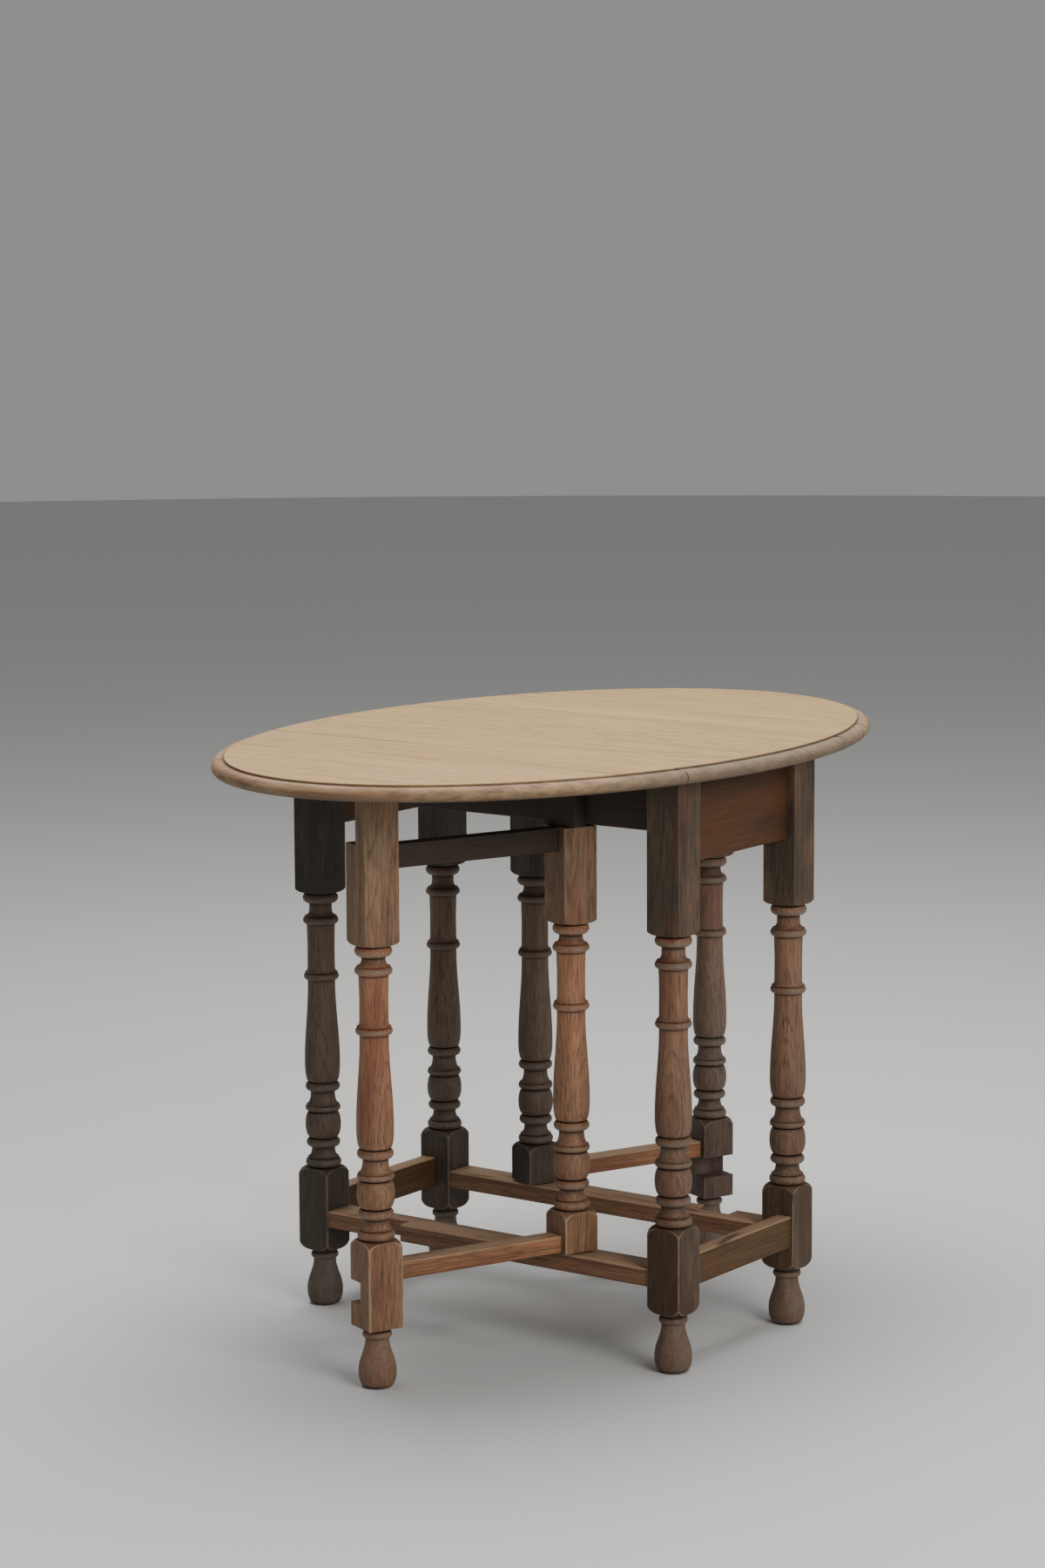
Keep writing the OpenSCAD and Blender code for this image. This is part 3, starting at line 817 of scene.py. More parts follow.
@dataclass
class Turning:
    """A turned leg's outline, in millimetres, from heights and radii shared by every leg."""

    top: float
    low_block: Point = (72.0, 175.0)
    high_block: float = 522.0
    half: float = 22.5
    neck: float = 14.5
    stem: float = 17.0
    rise: float = 0.0
    has_foot: bool = True
    corner: float = 32.3
    low_shoulder: float = 13.0
    high_shoulder: float = 7.0

    def foot(self) -> list[Point]:
        """Baluster foot with a fillet ring under the block.

        Returns:
            Points of radius and height, from the floor up.
        """
        floor, belly, wrist = 15.0, self.half - 0.2, self.neck - 0.5
        return [(0.0, 0.0), (floor - 1, 0.0), *swell(0.6, floor, 18, belly), *sway(20, belly, 57, wrist, 18),
                *arc(59, 67, wrist, 17.2), (self.neck + 0.4, 68.5), (self.neck + 0.6, self.low_block[0])]

    def shoulders(self, z: float, deep: float) -> list[Point]:
        """Round shoulder where the square stock meets turned work.

        Args:
            z: Height of the end of the block.
            deep: How far the shoulder reaches into the block, negative where the block lies below.

        Returns:
            Points in rising order.
        """
        turns = [math.pi / 2 * i / 12 for i in range(13)]
        start = self.half - 1.0
        points = [(start + (self.corner - start) * math.sin(a), z + deep * (1 - math.cos(a))) for a in turns]
        return points if deep > 0 else points[::-1]

    def stem_line(self) -> list[Point]:
        """Base ring, ball between rings, vase and the two upper rings.

        Returns:
            Points of radius and height, between the two blocks.
        """
        neck, stem, ring, up = self.neck, self.stem, self.half - 0.35, self.rise
        return [(neck + 1.5, self.low_block[1]), *arc(176, 187, neck + 2.5, ring),
                *flare(188, ring - 2.6, 199, neck), (neck, 200.6),
                *arc(201, 212, neck + 1, ring - 1.2), *arc(213, 246, neck + 2, ring, 18),
                *arc(247, 254, ring - 3, ring - 0.3, 8), *flare(254.6, ring - 1.6, 269, neck + 0.6),
                (neck + 0.6, 271), *arc(272, 283, neck + 2, ring - 0.7),
                *swell(284, 18, 306, ring - 0.2, 12), *sway(308, ring - 0.2, 409 + up, stem, 26),
                *arc(412 + up, 421 + up, stem + 0.4, ring - 0.4),
                *flare(421.6 + up, ring - 1.8, 427 + up, stem, 6),
                (stem - 0.2, 455 + up), *arc(482 + up, 491.5 + up, stem + 0.5, ring - 0.1),
                *flare(492 + up, ring - 2.4, 500 + up, neck - 0.5), (neck - 0.5, 507.5),
                *arc(508.5, 521, neck + 1.5, ring - 0.2), (neck + 3, self.high_block)]

    def outline(self, low_end: float, round_low: bool = True) -> list[Point]:
        """The whole outline in metres, from the axis below to the axis above.

        Args:
            low_end: Underside of the lower block where there is no foot.
            round_low: Whether the lower block is rounded below.

        Returns:
            Points of radius and height.
        """
        points = self.foot() if self.has_foot else [(0.0, low_end), (self.corner, low_end)]
        if self.has_foot:
            points += (self.shoulders(self.low_block[0], self.low_shoulder) if round_low
                       else [(self.corner, self.low_block[0])])
        points += self.shoulders(self.low_block[1], -self.low_shoulder) + self.stem_line()
        points += self.shoulders(self.high_block, self.high_shoulder)
        points += [(self.corner, self.top), (0.0, self.top)]
        return [(r * MM, z * MM) for r, z in self.fine(points)]

    def fine(self, points: Sequence[Point], step: float = 3.0) -> list[Point]:
        """Adds points along the slim parts of an outline, so that no step is longer than a length.

        Args:
            points: Points of radius and height.
            step: The longest step in height.

        Returns:
            The outline with more points.
        """
        dense = [points[0]]
        for (r0, z0), (r1, z1) in zip(points, points[1:]):
            slim = 0 < min(r0, r1) and max(r0, r1) < self.half
            count = max(1, math.ceil(abs(z1 - z0) / step)) if slim else 1
            dense += [(r0 + (r1 - r0) * i / count, z0 + (z1 - z0) * i / count) for i in range(1, count + 1)]
        return dense

    def radius_at(self, outline: Sequence[Point], z: float) -> float:
        """Radius of the turned work at a height, no larger than the stock.

        Args:
            outline: The outline, in metres.
            z: The height.

        Returns:
            The radius.
        """
        limit = self.half * MM
        for (r0, z0), (r1, z1) in zip(outline, outline[1:]):
            if z0 <= z <= z1 and z1 > z0:
                return min(limit, r0 + (r1 - r0) * (z - z0) / (z1 - z0))
        return limit

    def mark(self, piece: bpy.types.Object, outline: Sequence[Point], name: str, reach: float,
             scale: float = 4 * MM) -> None:
        """Stores on each vertex how far it stands out of, or lies below, its surroundings.

        Args:
            piece: The finished leg, still about the Z axis.
            outline: The outline that it was turned to.
            name: The attribute's name.
            reach: Distance over which the surroundings are averaged.
            scale: Difference of radius that counts as 1.
        """
        steps = [reach * (i / 6 - 1) for i in range(13)]
        low, high = self.low_block[1] * MM, self.high_block * MM
        start = self.low_block[0] * MM if self.has_foot else 0.0
        known: dict[float, float] = {}
        values = []
        for vertex in piece.data.vertices:
            z = round(vertex.co.z, 5)
            if z not in known:
                around = sum(self.radius_at(outline, z + step) for step in steps) / len(steps)
                known[z] = (self.radius_at(outline, z) - around) / scale
            square = start - 0.1 * MM < z < low + 0.1 * MM or z > high - 0.1 * MM
            values.append(0.0 if square else known[z])
        layer = piece.data.attributes.new(name, "FLOAT", "POINT")
        layer.data.foreach_set("value", values)


# ---------------------------------------------------------------- the table


def deliver(piece: bpy.types.Object, material: bpy.types.Material, body: str, slot: str,
            *nodes: str) -> None:
    """Gives a piece its finish and its place in the frame.

    Args:
        piece: A finished piece.
        material: Its finish.
        body: The CAD body that it moves with.
        slot: A material slot's name; not used.
        nodes: The CAD nodes that it stands for.
    """
    piece.data.materials.clear()
    piece.data.materials.append(material)
    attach(piece, body)
    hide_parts(*nodes)
    LOG.info("%s: %d faces, moves with %s", piece.name, len(piece.data.polygons), body)


@dataclass
class Layout:
    """Places and sizes read from the frame, in metres."""

    top: float = field(init=False)
    under: float = field(init=False)
    oval: Point = field(init=False)
    joint: float = field(init=False)
    leg: Vector = field(init=False)
    half: float = field(init=False)
    tongue: float = 12 * MM
    pin_rise: float = 4 * MM

    def __post_init__(self) -> None:
        """Reads the boxes of the nodes."""
        low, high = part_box("centre_board")
        self.top, self.under = high.z, low.z
        self.oval = (high.x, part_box("far_leaf")[1].y)
        self.joint = high.y - self.tongue
        low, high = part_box("near_right_leg")
        self.leg = (low + high) / 2
        self.half = (high.x - low.x) / 2

    def centre(self, node: str) -> Point:
        """Middle of a node, seen from above."""
        low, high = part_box(node)
        return ((low.x + high.x) / 2, (low.y + high.y) / 2)

    def gate_turn(self, side: str) -> float:
        """Direction in which a gate's leg lies from its post, less the closed direction, in radians.

        Args:
            side: near or far.

        Returns:
            The angle.
        """
        post, leg = (Vector(self.centre(f"{side}_gate_{part}")) for part in ("post", "leg"))
        run = leg - post
        return math.atan2(-run.y, -run.x)


@dataclass
class Top:
    """The centre board and its two leaves, moulded together and parted by rule joints."""

    sizes: Layout
    finish: TopOak = TopOak()
    step: float = 3 * MM
    mould: float = 15.5 * MM
    roll: float = 8 * MM
    gap: float = 0.7 * MM
    joint_arris: float = 0.6 * MM
    rim_points: int = 288
    hinge_x: float = 160 * MM
    flap_half: float = 20.3 * MM
    flap_deep: float = 1.85 * MM
    knuckle_deep: float = 2.8 * MM
    leaf_flap: Point = (12 * MM, 46.3 * MM)
    board_flap: Point = (-32.3 * MM, 0.0)
    knuckle: Point = (-4 * MM, 13 * MM)
    groove: float = 4 * MM
    past: float = 10 * MM
    beyond: float = 1.0
    cut_from: float = 0.6
    cut_to: float = 0.8

    def edge(self) -> list[Point]:
        """The moulded edge: distance in from the oval and depth below the top face.

        Returns:
            Points in order from the top face down.
        """
        thick = self.sizes.top - self.sizes.under
        quirk = [(self.mould + 0.9 * MM, 0.0), (self.mould + 0.25 * MM, 0.12 * MM), (self.mould, 0.7 * MM),
                 (self.mould, self.step - 0.5 * MM), (self.mould - 0.4 * MM, self.step),
                 (self.mould - 3 * MM, self.step - 0.1 * MM)]
        turns = [math.pi * i / 22 for i in range(23)]
        middle = thick - self.roll
        return quirk + [(self.roll * (1 - math.sin(a)), middle - self.roll * math.cos(a)) for a in turns]

    def oval(self) -> bpy.types.Object:
        """Draws the oval and carries it down the moulded edge, ring by ring.

        Returns:
            The whole top in one piece.
        """
        half_x, half_y = self.sizes.oval
        edge = self.edge()
        inset, top = edge[0][0], self.sizes.top
        Bench.clear()
        bpy.ops.mesh.primitive_circle_add(vertices=self.rim_points, radius=1, fill_type="NGON",
                                          location=(0, 0, top))
        bpy.context.object.scale = (half_x - inset, half_y - inset, 1)
        piece = Bench.fix("oval")
        bpy.ops.object.mode_set(mode="EDIT")
        bpy.ops.mesh.select_mode(type="FACE")
        bpy.ops.mesh.select_all(action="SELECT")
        for (in0, deep0), (in1, deep1) in zip(edge, edge[1:]):
            bpy.ops.mesh.extrude_region_move(TRANSFORM_OT_translate={"value": (0, 0, deep0 - deep1)})
            grow = ((half_x - in1) / (half_x - in0), (half_y - in1) / (half_y - in0), 1)
            bpy.ops.transform.resize(value=grow, center_override=(0, 0, top - deep1))
        bpy.ops.mesh.select_all(action="SELECT")
        bpy.ops.mesh.remove_doubles(threshold=0.005 * MM)
        bpy.ops.mesh.normals_make_consistent(inside=False)
        bpy.ops.object.mode_set(mode="OBJECT")
        return piece

    def pin_rod(self, side: int, radius: float) -> bpy.types.Object:
        """A long rod about the pin axis of one leaf's hinges."""
        centre = (0, side * self.sizes.joint, self.sizes.under + self.sizes.pin_rise)
        return Bench.rod("pin_rod", centre, radius, 2.2 * self.sizes.oval[0], along_x=True, sides=128)

    def slab(self, side: int, y0: float, y1: float, z0: float, z1: float) -> bpy.types.Object:
        """A block over the whole width between two distances on one side, to cut with.

        Args:
            side: 1 on the far side, -1 on the near side.
            y0: Distance where it starts.
            y1: Distance where it ends.
            z0: Its underside.
            z1: Its top.

        Returns:
            The block.
        """
        reach = 1.2 * self.sizes.oval[0]
        low, high = sorted((side * y0, side * y1))
        return Bench.box("slab", (-reach, low, z0), (reach, high, z1))

    def gains(self, piece: bpy.types.Object, side: int, leaf: bool) -> None:
        """Lets the hinges into the underside.

        Args:
            piece: A board.
            side: 1 on the far side, -1 on the near side.
            leaf: Whether the board is a leaf.
        """
        joint, under = self.sizes.joint, self.sizes.under
        length = self.flap_half
        spans = [(*self.leaf_flap, self.flap_deep)]
        if not leaf:
            spans = [(*self.board_flap, self.flap_deep), (*self.knuckle, self.knuckle_deep)]
        for x in (-self.hinge_x, self.hinge_x):
            for start, end, deep in spans:
                low, high = sorted((side * (joint + start), side * (joint + end)))
                tool = Bench.box("gain", (x - length, low, under - 1 * MM), (x + length, high, under + deep))
                Bench.cut(piece, tool)
            if not leaf:
                centre = (x, side * joint, under + self.sizes.pin_rise)
                Bench.cut(piece, Bench.rod("groove", centre, self.groove, 2 * length + 1 * MM, along_x=True))

    def ease_joint(self, piece: bpy.types.Object, y: float) -> None:
        """Rounds the arris of a board's top face at a joint.

        Args:
            piece: A board.
            y: Where the arris runs.
        """
        Bench.pick(piece)
        bpy.ops.object.mode_set(mode="EDIT")
        bpy.ops.mesh.select_mode(type="EDGE")
        bpy.ops.mesh.select_all(action="DESELECT")
        bpy.ops.object.mode_set(mode="OBJECT")
        close = 0.02 * MM
        for edge in piece.data.edges:
            ends = [piece.data.vertices[i].co for i in edge.vertices]
            edge.select = all(abs(p.z - self.sizes.top) < close and abs(p.y - y) < close for p in ends)
        bpy.ops.object.mode_set(mode="EDIT")
        bpy.ops.mesh.bevel(offset=self.joint_arris, segments=3, affect="EDGES")
        bpy.ops.object.mode_set(mode="OBJECT")

    def board(self, blank: bpy.types.Object) -> bpy.types.Object:
        """Cuts the centre board with a rounded tongue along both sides.

        Args:
            blank: The whole oval.

        Returns:
            The board.
        """
        piece = Bench.copy(blank, "centre_board_oak")
        joint, pin = self.sizes.joint, self.sizes.under + self.sizes.pin_rise
        tongue, top = self.sizes.tongue, self.sizes.top
        for side in (-1, 1):
            Bench.cut(piece, self.slab(side, joint + tongue, self.beyond, self.cut_from, self.cut_to))
            waste = self.slab(side, joint, joint + 2 * tongue, pin, top + self.past)
            Bench.cut(waste, self.pin_rod(side, tongue))
            Bench.cut(piece, waste)
            self.ease_joint(piece, side * joint)
            self.gains(piece, side, leaf=False)
        return piece

    def leaf(self, blank: bpy.types.Object, side: int, name: str) -> bpy.types.Object:
        """Cuts one leaf with the hollow that fits over the board's tongue.

        Args:
            blank: The whole oval.
            side: 1 on the far side, -1 on the near side.
            name: The leaf's name.

        Returns:
            The leaf.
        """
        piece = Bench.copy(blank, name)
        joint, pin = self.sizes.joint, self.sizes.under + self.sizes.pin_rise
        hollow = self.sizes.tongue + self.gap
        Bench.cut(piece, self.slab(side, -self.beyond, joint + self.gap, self.cut_from, self.cut_to))
        Bench.cut(piece, self.slab(side, joint - self.past, joint + hollow, self.cut_from, pin))
        Bench.cut(piece, self.pin_rod(side, hollow))
        self.ease_joint(piece, side * (joint + self.gap))
        self.gains(piece, side, leaf=True)
        return piece

    def build(self) -> None:
        """Makes, dresses and hangs the three boards."""
        blank = self.oval()
        boards = [(self.board(blank), "centre_board", "frame", 0.35),
                  (self.leaf(blank, -1, "near_leaf_oak"), "near_leaf", "near_leaf", 4.1),
                  (self.leaf(blank, 1, "far_leaf_oak"), "far_leaf", "far_leaf", 9.6)]
        bpy.data.objects.remove(blank)
        for piece, node, body, seed in boards:
            Bench.smooth(piece, 30)
            material = self.finish.material(f"{node}_oak", Lie(Grain.ALONG_X, seed=seed))
            deliver(piece, material, body, "top_oak", node)


@dataclass(frozen=True)
class LegTone:
    """The colours of one leg: turned work, old stain, blocks, rubbed rings and rubbed arrises."""

    pale: Colour
    deep: Colour
    stain: Colour
    block: Colour
    worn: Colour
    rubbed: Colour


class Tone(Enum):
    """How far the stain has gone from a leg, and the shade it stands in: darker copies of one oak are
    painted shade, DARK on the far left leg and far gate post, DEEP on the near left leg.
    """

    WARM = LegTone((0.365, 0.192, 0.110), (0.162, 0.074, 0.040), (0.15, 0.046, 0.030), (0.76, 0.80, 0.72),
                   (0.205, 0.148, 0.104), (0.40, 0.275, 0.165))
    BROWN = LegTone((0.238, 0.138, 0.088), (0.10, 0.053, 0.034), (0.115, 0.036, 0.022), (0.35, 0.375, 0.33),
                    (0.15, 0.117, 0.085), (0.185, 0.137, 0.093))
    GREY = LegTone((0.215, 0.142, 0.107), (0.10, 0.062, 0.045), (0.10, 0.042, 0.031), (0.40, 0.39, 0.36),
                   (0.14, 0.11, 0.085), (0.17, 0.13, 0.095))
    # DARK and DEEP are painted shade: darker copies for the legs that stand deepest in shade.
    DARK = LegTone((0.145, 0.102, 0.073), (0.068, 0.046, 0.033), (0.072, 0.034, 0.024), (0.37, 0.37, 0.34),
                   (0.105, 0.083, 0.062), (0.15, 0.115, 0.085))
    DEEP = LegTone((0.108, 0.076, 0.054), (0.052, 0.035, 0.025), (0.058, 0.028, 0.020), (0.37, 0.37, 0.34),
                   (0.088, 0.069, 0.052), (0.13, 0.10, 0.074))


@dataclass
class Legs:
    """Frame legs, gate posts and gate legs, turned from square stock."""

    sizes: Layout
    arris: float = 0.9 * MM
    notches: tuple[Point, Point] = ((100 * MM, 126 * MM), (639.5 * MM, 800 * MM))
    notch_face: float = 0.5 * MM
    gate_rise: float = 5.0
    gate_clear: float = 0.5
    bore: float = 5.05 * MM
    low_bore: Point = (-10 * MM, 34.2 * MM)
    high_bore: Point = (613.5 * MM, 50 * MM)
    past: float = 50 * MM
    stock_top: float = 0.9

    def blocks(self, turning: Turning, low_end: float) -> tuple[Point, Point]:
        """Heights of the two square blocks, in metres."""
        return ((low_end * MM, turning.low_block[1] * MM), (turning.high_block * MM, turning.top * MM))

    def shape(self, name: str, turning: Turning, low_end: float, round_low: bool,
              notched: bool) -> bpy.types.Object:
        """Turns one leg about the Z axis.

        Args:
            name: The leg's name.
            turning: Its outline.
            low_end: Underside of its lower block, in millimetres.
            round_low: Whether that block is rounded below.
            notched: Whether the leg is notched to lap the frame.

        Returns:
            The leg.
        """
        outline = turning.outline(low_end, round_low)
        half, past = self.sizes.half, self.past
        stock = Bench.box("stock", (-half, -half, -past), (half, half, self.stock_top))
        if notched:
            for low, high in self.notches:
                Bench.cut(stock, Bench.box("notch", (-past, -self.notch_face, low), (past, past, high)))
        Bench.soften(stock, self.arris)
        piece = Bench.turn(name, outline)
        Bench.cut(piece, stock, Cut.KEEP)
        turning.mark(piece, outline, "relief", 9 * MM)
        turning.mark(piece, outline, "crease", 3 * MM)
        Bench.smooth(piece)
        return piece

    def oak(self, turning: Turning, low_end: float, tone: Tone) -> LegOak:
        """Finish of a leg, in one of the tones that the legs have, which also paint the shade that the leg
        stands in.

        Args:
            turning: The leg's outline.
            low_end: Underside of its lower block, in millimetres.
            tone: Its tone.

        Returns:
            The finish.
        """
        kind = tone.value
        return LegOak(pale=kind.pale, deep=kind.deep, stain=kind.stain, block=kind.block, worn=kind.worn,
                      rubbed=kind.rubbed, half=self.sizes.half, blocks=self.blocks(turning, low_end),
                      arch_foot=turning.rise == 0)

    def build(self) -> None:
        """Makes, dresses and stands up the eight turned uprights."""
        high = self.sizes.under / MM
        frame_turning = Turning(top=high)
        gate_turning = Turning(top=high - self.gate_clear, rise=self.gate_rise)
        post_end, post_top = (corner.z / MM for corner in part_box("near_gate_post"))
        post_turning = Turning(top=post_top, rise=self.gate_rise, has_foot=False)
        foot_top = frame_turning.low_block[0]
        frame_leg = self.shape("frame_leg", frame_turning, foot_top, True, False)
        gate_leg = self.shape("gate_leg", gate_turning, foot_top, False, True)
        post = self.shape("post", post_turning, post_end, False, False)
        start, deep = self.low_bore
        for low, long in ((post_end * MM + start, deep), self.high_bore):
            Bench.cut(post, Bench.rod("bore", (0, 0, low + long / 2), self.bore, long, sides=64))
        # Darker tones are painted shade: DEEP for the near left leg, DARK for the far left leg and the far
        # gate's post.
        corners = {"near_left_leg": Tone.DEEP, "near_right_leg": Tone.BROWN,
                   "far_left_leg": Tone.DARK, "far_right_leg": Tone.BROWN}
        plan = [(frame_leg, frame_turning, foot_top, node, "frame", 0.0, tone)
                for node, tone in corners.items()]
        for side, leg_tone, post_tone in (("near", Tone.WARM, Tone.WARM), ("far", Tone.GREY, Tone.DARK)):
            gate, turn = f"{side}_gate", self.sizes.gate_turn(side)
            plan.append((gate_leg, gate_turning, foot_top, f"{gate}_leg", gate, turn, leg_tone))
            plan.append((post, post_turning, post_end, f"{gate}_post", gate, turn, post_tone))
        for number, (model, turning, low_end, node, body, turn, tone) in enumerate(plan):
            piece = Bench.copy(model, f"{node}_oak")
            centre = self.sizes.centre(node)
            Bench.place(piece, centre, turn)
            lie = Lie(Grain.ALONG_Z, centre, turn, seed=FIRST_LEG_SEED + LEG_SEED_STEP * number)
            material = self.oak(turning, low_end, tone).material(f"{node}_oak", lie)
            deliver(piece, material, body, "leg_oak", node)
        for model in (frame_leg, gate_leg, post):
            bpy.data.objects.remove(model)


@dataclass(frozen=True)
class RailWood:
    """The colours of a rail: bare wood, late wood, stain and its rubbed upper face."""

    pale: Colour
    deep: Colour
    stain: Colour
    rubbed: Colour


class RailTone(Enum):
    """How far a rail is stripped, from rubbed bare to still stained; DARK is painted shade, for the aprons,
    pivot blocks, leaf stops and upper gate rails under the top.
    """

    RUBBED = RailWood((0.385, 0.18, 0.087), (0.17, 0.071, 0.034), (0.085, 0.032, 0.018),
                      (0.43, 0.295, 0.185))
    BROWN = RailWood((0.235, 0.12, 0.062), (0.095, 0.044, 0.024), (0.055, 0.026, 0.016),
                     (0.45, 0.295, 0.18))
    DEEP = RailWood((0.118, 0.060, 0.0195), (0.053, 0.025, 0.009), (0.032, 0.015, 0.0075),
                    (0.38, 0.25, 0.145))
    WARM = RailWood((0.102, 0.038, 0.0085), (0.046, 0.0175, 0.005), (0.024, 0.011, 0.005),
                    (0.07, 0.038, 0.021))
    # DARK is painted shade for the timber that lies under the top.
    DARK = RailWood((0.038, 0.024, 0.015), (0.019, 0.012, 0.008), (0.017, 0.0095, 0.006),
                    (0.046, 0.032, 0.022))


@dataclass
class Rails:
    """Aprons, stretchers, gate rails, pivot blocks and leaf stops: all the square timber."""

    sizes: Layout
    edge: float = 1.3 * MM
    tuck: float = 1.2 * MM
    lap_half: float = 24.5 * MM
    lap_face: float = 0.5 * MM
    lap_span: Point = (50 * MM, 200 * MM)
    past: float = 50 * MM
    upper_thick: float = 21 * MM
    lower_thick: float = 26 * MM
    stop_long: float = 52 * MM
    stop_wide: float = 16 * MM
    screw_x: tuple[float, ...] = (-200 * MM, -40 * MM, 200 * MM)
    screw_bore: float = 4.5 * MM
    screw_z: float = 0.66
    screw_long: float = 40 * MM
    pin_bore: float = 5 * MM
    pin_z: float = 0.115
    pin_long: float = 50 * MM

    def oak(self, node: str, tone: RailTone) -> RailOak:
        """Finish of a rail in one of the tones, with calmer grain and shade on the warm end aprons.

        Args:
            node: The CAD node that the rail stands for.
            tone: Its tone.

        Returns:
            The finish.
        """
        low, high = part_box(node)
        kind = tone.value
        calm = {"streak_strength": 0.6, "shade": 0.55} if tone is RailTone.WARM else {}
        return RailOak(pale=kind.pale, deep=kind.deep, stain=kind.stain, rubbed=kind.rubbed,
                       low=low.z, high=high.z, **calm)

    def hand_over(self, piece: bpy.types.Object, node: str, body: str, lie: Lie, slot: str,
                  tone: RailTone = RailTone.DARK) -> None:
        """Softens, dresses and delivers one piece.

        Args:
            piece: The piece.
            node: The CAD node that it stands for.
            body: The CAD body that it moves with.
            lie: How its timber lies.
            slot: Its material slot.
            tone: The colour of its wood; the default DARK is painted shade.
        """
        Bench.soften(piece, self.edge)
        Bench.smooth(piece, 50)
        deliver(piece, self.oak(node, tone).material(f"{node}_oak", lie), body, slot, node)

    def frame_rail(self, node: str, grain: Grain, slot: str, tools: Sequence[bpy.types.Object] = (),
                   tone: RailTone = RailTone.DARK, seed: float = 0.0) -> None:
        """Makes a rail that lies along X or Y between two legs.

        Args:
            node: The CAD node that it stands for.
            grain: The way it lies.
            slot: Its material slot.
            tools: Solids to cut it with.
            tone: The colour of its wood; the default DARK is painted shade.
            seed: Moves its grain pattern.
        """
        low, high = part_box(node)
        axis = grain.value
        face = (self.sizes.leg[axis] if axis == 0 else -self.sizes.leg[axis]) - self.sizes.half + self.tuck
        low[axis], high[axis] = -face, face
        piece = Bench.box(f"{node}_oak", low, high)
        for tool in tools:
            Bench.cut(piece, tool)
        centre = self.sizes.centre(node)
        self.hand_over(piece, node, "frame", Lie(grain, centre, 0.0, seed), slot, tone)

    def lap(self, side: str) -> bpy.types.Object:
        """The waste of a stretcher's half lap, where the closed gate's leg goes.

        Args:
            side: near or far.

        Returns:
            The block to cut away.
        """
        sign = -1 if side == "near" else 1
        post, leg = (Vector(self.sizes.centre(f"{side}_gate_{part}")) for part in ("post", "leg"))
        x = post.x + sign * (leg - post).length
        face = abs(post.y) - self.lap_face
        low, high = sorted((sign * face, sign * (face + self.past)))
        start, end = self.lap_span
        return Bench.box("lap", (x - self.lap_half, low, start), (x + self.lap_half, high, end))

    def gate_rail(self, side: str, part: str, seed: float) -> None:
        """Makes a rail between a gate's post and its leg.

        Args:
            side: near or far.
            part: upper or lower.
            seed: Moves its grain pattern.
        """
        node = f"{side}_gate_{part}_rail"
        low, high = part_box(node)
        post, leg = (Vector(self.sizes.centre(f"{side}_gate_{end}")) for end in ("post", "leg"))
        middle, turn = (post + leg) / 2, self.sizes.gate_turn(side)
        reach = (leg - post).length / 2 - self.sizes.half + self.tuck
        thick = (self.upper_thick if part == "upper" else self.lower_thick) / 2
        piece = Bench.box(f"{node}_oak", (-reach, -thick, low.z), (reach, thick, high.z))
        Bench.soften(piece, self.edge)
        Bench.place(piece, middle, turn)
        Bench.smooth(piece, 50)
        lie = Lie(Grain.ALONG_X, tuple(middle), turn, seed)
        # The upper rail, under the top, is painted in shade (DARK).
        tone = RailTone.DARK if part == "upper" else RailTone.RUBBED
        deliver(piece, self.oak(node, tone).material(f"{node}_oak", lie), f"{side}_gate", "rail_oak", node)

    def stop(self, side: str, seed: float) -> None:
        """Makes the block under a leaf that the open gate's leg meets.

        Args:
            side: near or far.
            seed: Moves its grain pattern.
        """
        node = f"{side}_leaf_stop"
        low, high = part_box(node)
        turn = self.sizes.gate_turn(side)
        reach, thick = self.stop_long / 2, self.stop_wide / 2
        piece = Bench.box(f"{node}_oak", (-reach, -thick, low.z), (reach, thick, high.z))
        Bench.soften(piece, self.edge)
        centre = self.sizes.centre(node)
        Bench.place(piece, centre, turn)
        Bench.smooth(piece, 50)
        lie = Lie(Grain.ALONG_X, centre, turn, seed)
        # The stop, under the leaf, is painted in shade (DARK).
        oak = self.oak(node, RailTone.DARK).material(f"{node}_oak", lie)
        deliver(piece, oak, f"{side}_leaf", "frame_oak", node)

    def build(self) -> None:
        """Makes all the square timber."""
        for number, side in enumerate(("near", "far")):
            sign = 1 if side == "near" else -1
            post = self.sizes.centre(f"{side}_gate_post")
            y = self.sizes.centre(f"{side}_long_apron")[1]
            bores = [Bench.rod("bore", (sign * x, y, self.screw_z), self.screw_bore, self.screw_long)
                     for x in self.screw_x]
            # The long aprons and the pivot blocks keep the default DARK, painted shade under the top.
            self.frame_rail(f"{side}_long_apron", Grain.ALONG_X, "frame_oak", bores, seed=2.3 + number)
            pin = Bench.rod("bore", (*post, self.pin_z), self.pin_bore, self.pin_long)
            self.frame_rail(f"{side}_long_stretcher", Grain.ALONG_X, "rail_oak", (self.lap(side), pin),
                            RailTone.BROWN, seed=5.9 + number)
            node = f"{side}_pivot_block"
            low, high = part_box(node)
            block = Bench.box(f"{node}_oak", low, high)
            lie = Lie(Grain.ALONG_X, self.sizes.centre(node), 0.0, 7.7 + number)
            self.hand_over(block, node, "frame", lie, "frame_oak")
            for part, seed in (("upper", 11.3), ("lower", 13.9)):
                self.gate_rail(side, part, seed + number)
            self.stop(side, 17.1 + number)
        for number, end in enumerate(("left", "right")):
            self.frame_rail(f"{end}_end_apron", Grain.ALONG_Y, "frame_oak", tone=RailTone.WARM,
                            seed=21.3 + number)
            self.frame_rail(f"{end}_end_stretcher", Grain.ALONG_Y, "rail_oak", tone=RailTone.DEEP,
                            seed=25.9 + number)


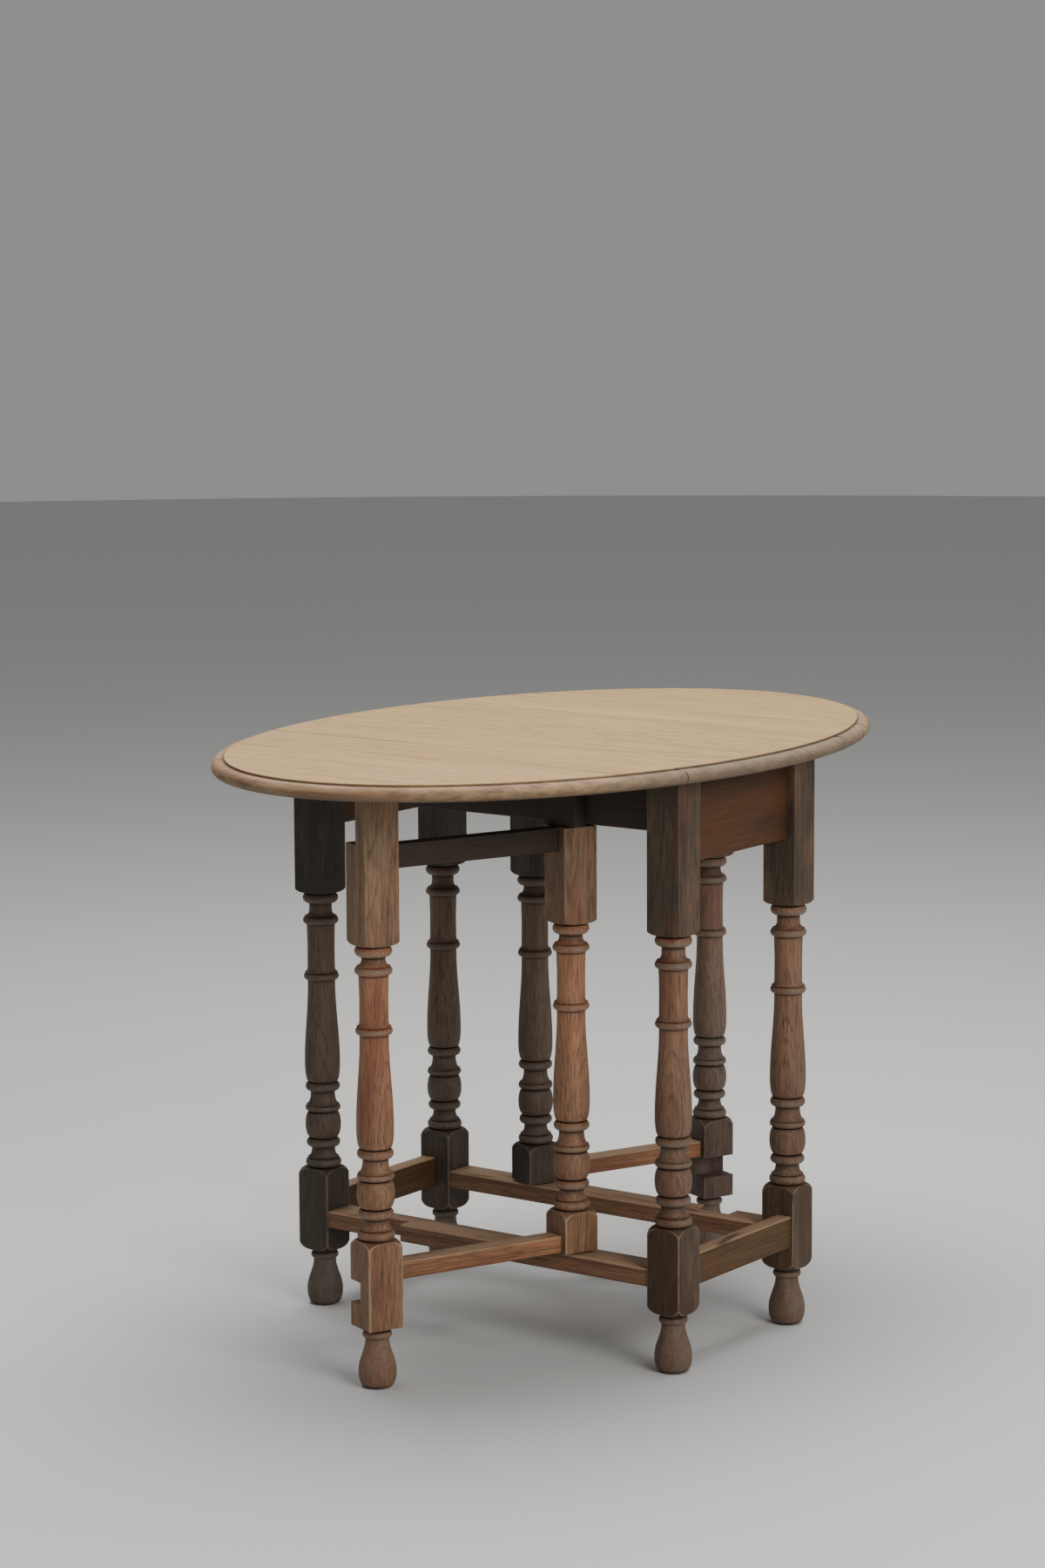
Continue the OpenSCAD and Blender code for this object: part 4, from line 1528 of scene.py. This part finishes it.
@dataclass
class Hardware:
    """Hinges, screws and pivot pins, which keep their CAD shape."""

    steel: OldSteel = OldSteel()

    def build(self) -> None:
        """Dresses every steel node."""
        material = self.steel.material("old_steel")
        for name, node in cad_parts.items():
            if any(word in name for word in ("flap", "pin", "screws")) and "block" not in name:
                node.data.materials.clear()
                node.data.materials.append(material)
                LOG.info("%s: dressed in steel", name)


@dataclass(frozen=True)
class SoftBox:
    """A square soft light aimed at the table: its place, side, power in watts and colour."""

    name: str
    place: tuple[float, float, float]
    size: float
    power: float
    tone: Colour


@dataclass
class Studio:
    """Plain pale floor, soft light and the camera."""

    camera_at: tuple[float, float, float] = (2.7743, -3.9250, 1.3594)
    heading: float = math.radians(35.676)
    pitch: float = math.radians(8.261)
    roll: float = math.radians(-0.291)
    lens: float = 91.7
    floor_tone: Colour = (0.61, 0.61, 0.605)
    floor_reach: float = 14.0
    sky_tone: Colour = (0.92, 0.92, 0.92)
    sky_strength: float = 0.31
    middle: float = 0.5
    window: SoftBox = SoftBox("window", (3.8, -1.4, 2.3), 2.0, 110, (1.0, 0.97, 0.93))
    overhead: SoftBox = SoftBox("overhead", (-0.3, 0.4, 3.4), 2.6, 145, (1.0, 0.985, 0.95))

    def camera(self) -> None:
        """Makes the camera."""
        data = bpy.data.cameras.new("camera")
        data.lens, data.sensor_width, data.sensor_fit = self.lens, 36.0, "AUTO"
        item = bpy.data.objects.new("camera", data)
        bpy.context.scene.collection.objects.link(item)
        aim = (Matrix.Rotation(self.heading, 4, "Z") @ Matrix.Rotation(math.pi / 2 - self.pitch, 4, "X")
               @ Matrix.Rotation(self.roll, 4, "Z"))
        item.matrix_world = Matrix.Translation(self.camera_at) @ aim
        bpy.context.scene.camera = item

    def floor(self) -> None:
        """Lays the floor."""
        Bench.clear()
        bpy.ops.mesh.primitive_circle_add(vertices=96, radius=self.floor_reach, fill_type="NGON",
                                          location=(0, 0, 0))
        piece = Bench.fix("studio_floor")
        graph = Graph("studio_floor")
        graph.feed("Base Color", (*self.floor_tone, 1))
        graph.feed("Roughness", 0.85)
        piece.data.materials.append(graph.material)

    def lamp(self, box: SoftBox) -> None:
        """Hangs a soft box.

        Args:
            box: The light.
        """
        data = bpy.data.lights.new(box.name, "AREA")
        data.shape, data.size, data.energy, data.color = "SQUARE", box.size, box.power, box.tone
        item = bpy.data.objects.new(box.name, data)
        item.location = box.place
        aim = Vector((0, 0, self.middle)) - Vector(box.place)
        item.rotation_euler = aim.to_track_quat("-Z", "Y").to_euler()
        bpy.context.scene.collection.objects.link(item)

    def build(self) -> None:
        """Sets up floor, light and camera."""
        self.camera()
        self.floor()
        world = bpy.data.worlds.new("studio")
        bpy.context.scene.world = world
        world.use_nodes = True
        world.node_tree.nodes["Background"].inputs["Color"].default_value = (*self.sky_tone, 1)
        world.node_tree.nodes["Background"].inputs["Strength"].default_value = self.sky_strength
        self.lamp(self.window)
        self.lamp(self.overhead)


def main() -> None:
    """Builds the table and its studio, in order."""
    logging.basicConfig(level=logging.INFO, format="%(name)s: %(message)s")
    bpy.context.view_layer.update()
    sizes = Layout()
    Studio().build()
    Top(sizes).build()
    Legs(sizes).build()
    Rails(sizes).build()
    Hardware().build()
    Bench.clear()


if __name__ == "__main__":
    main()
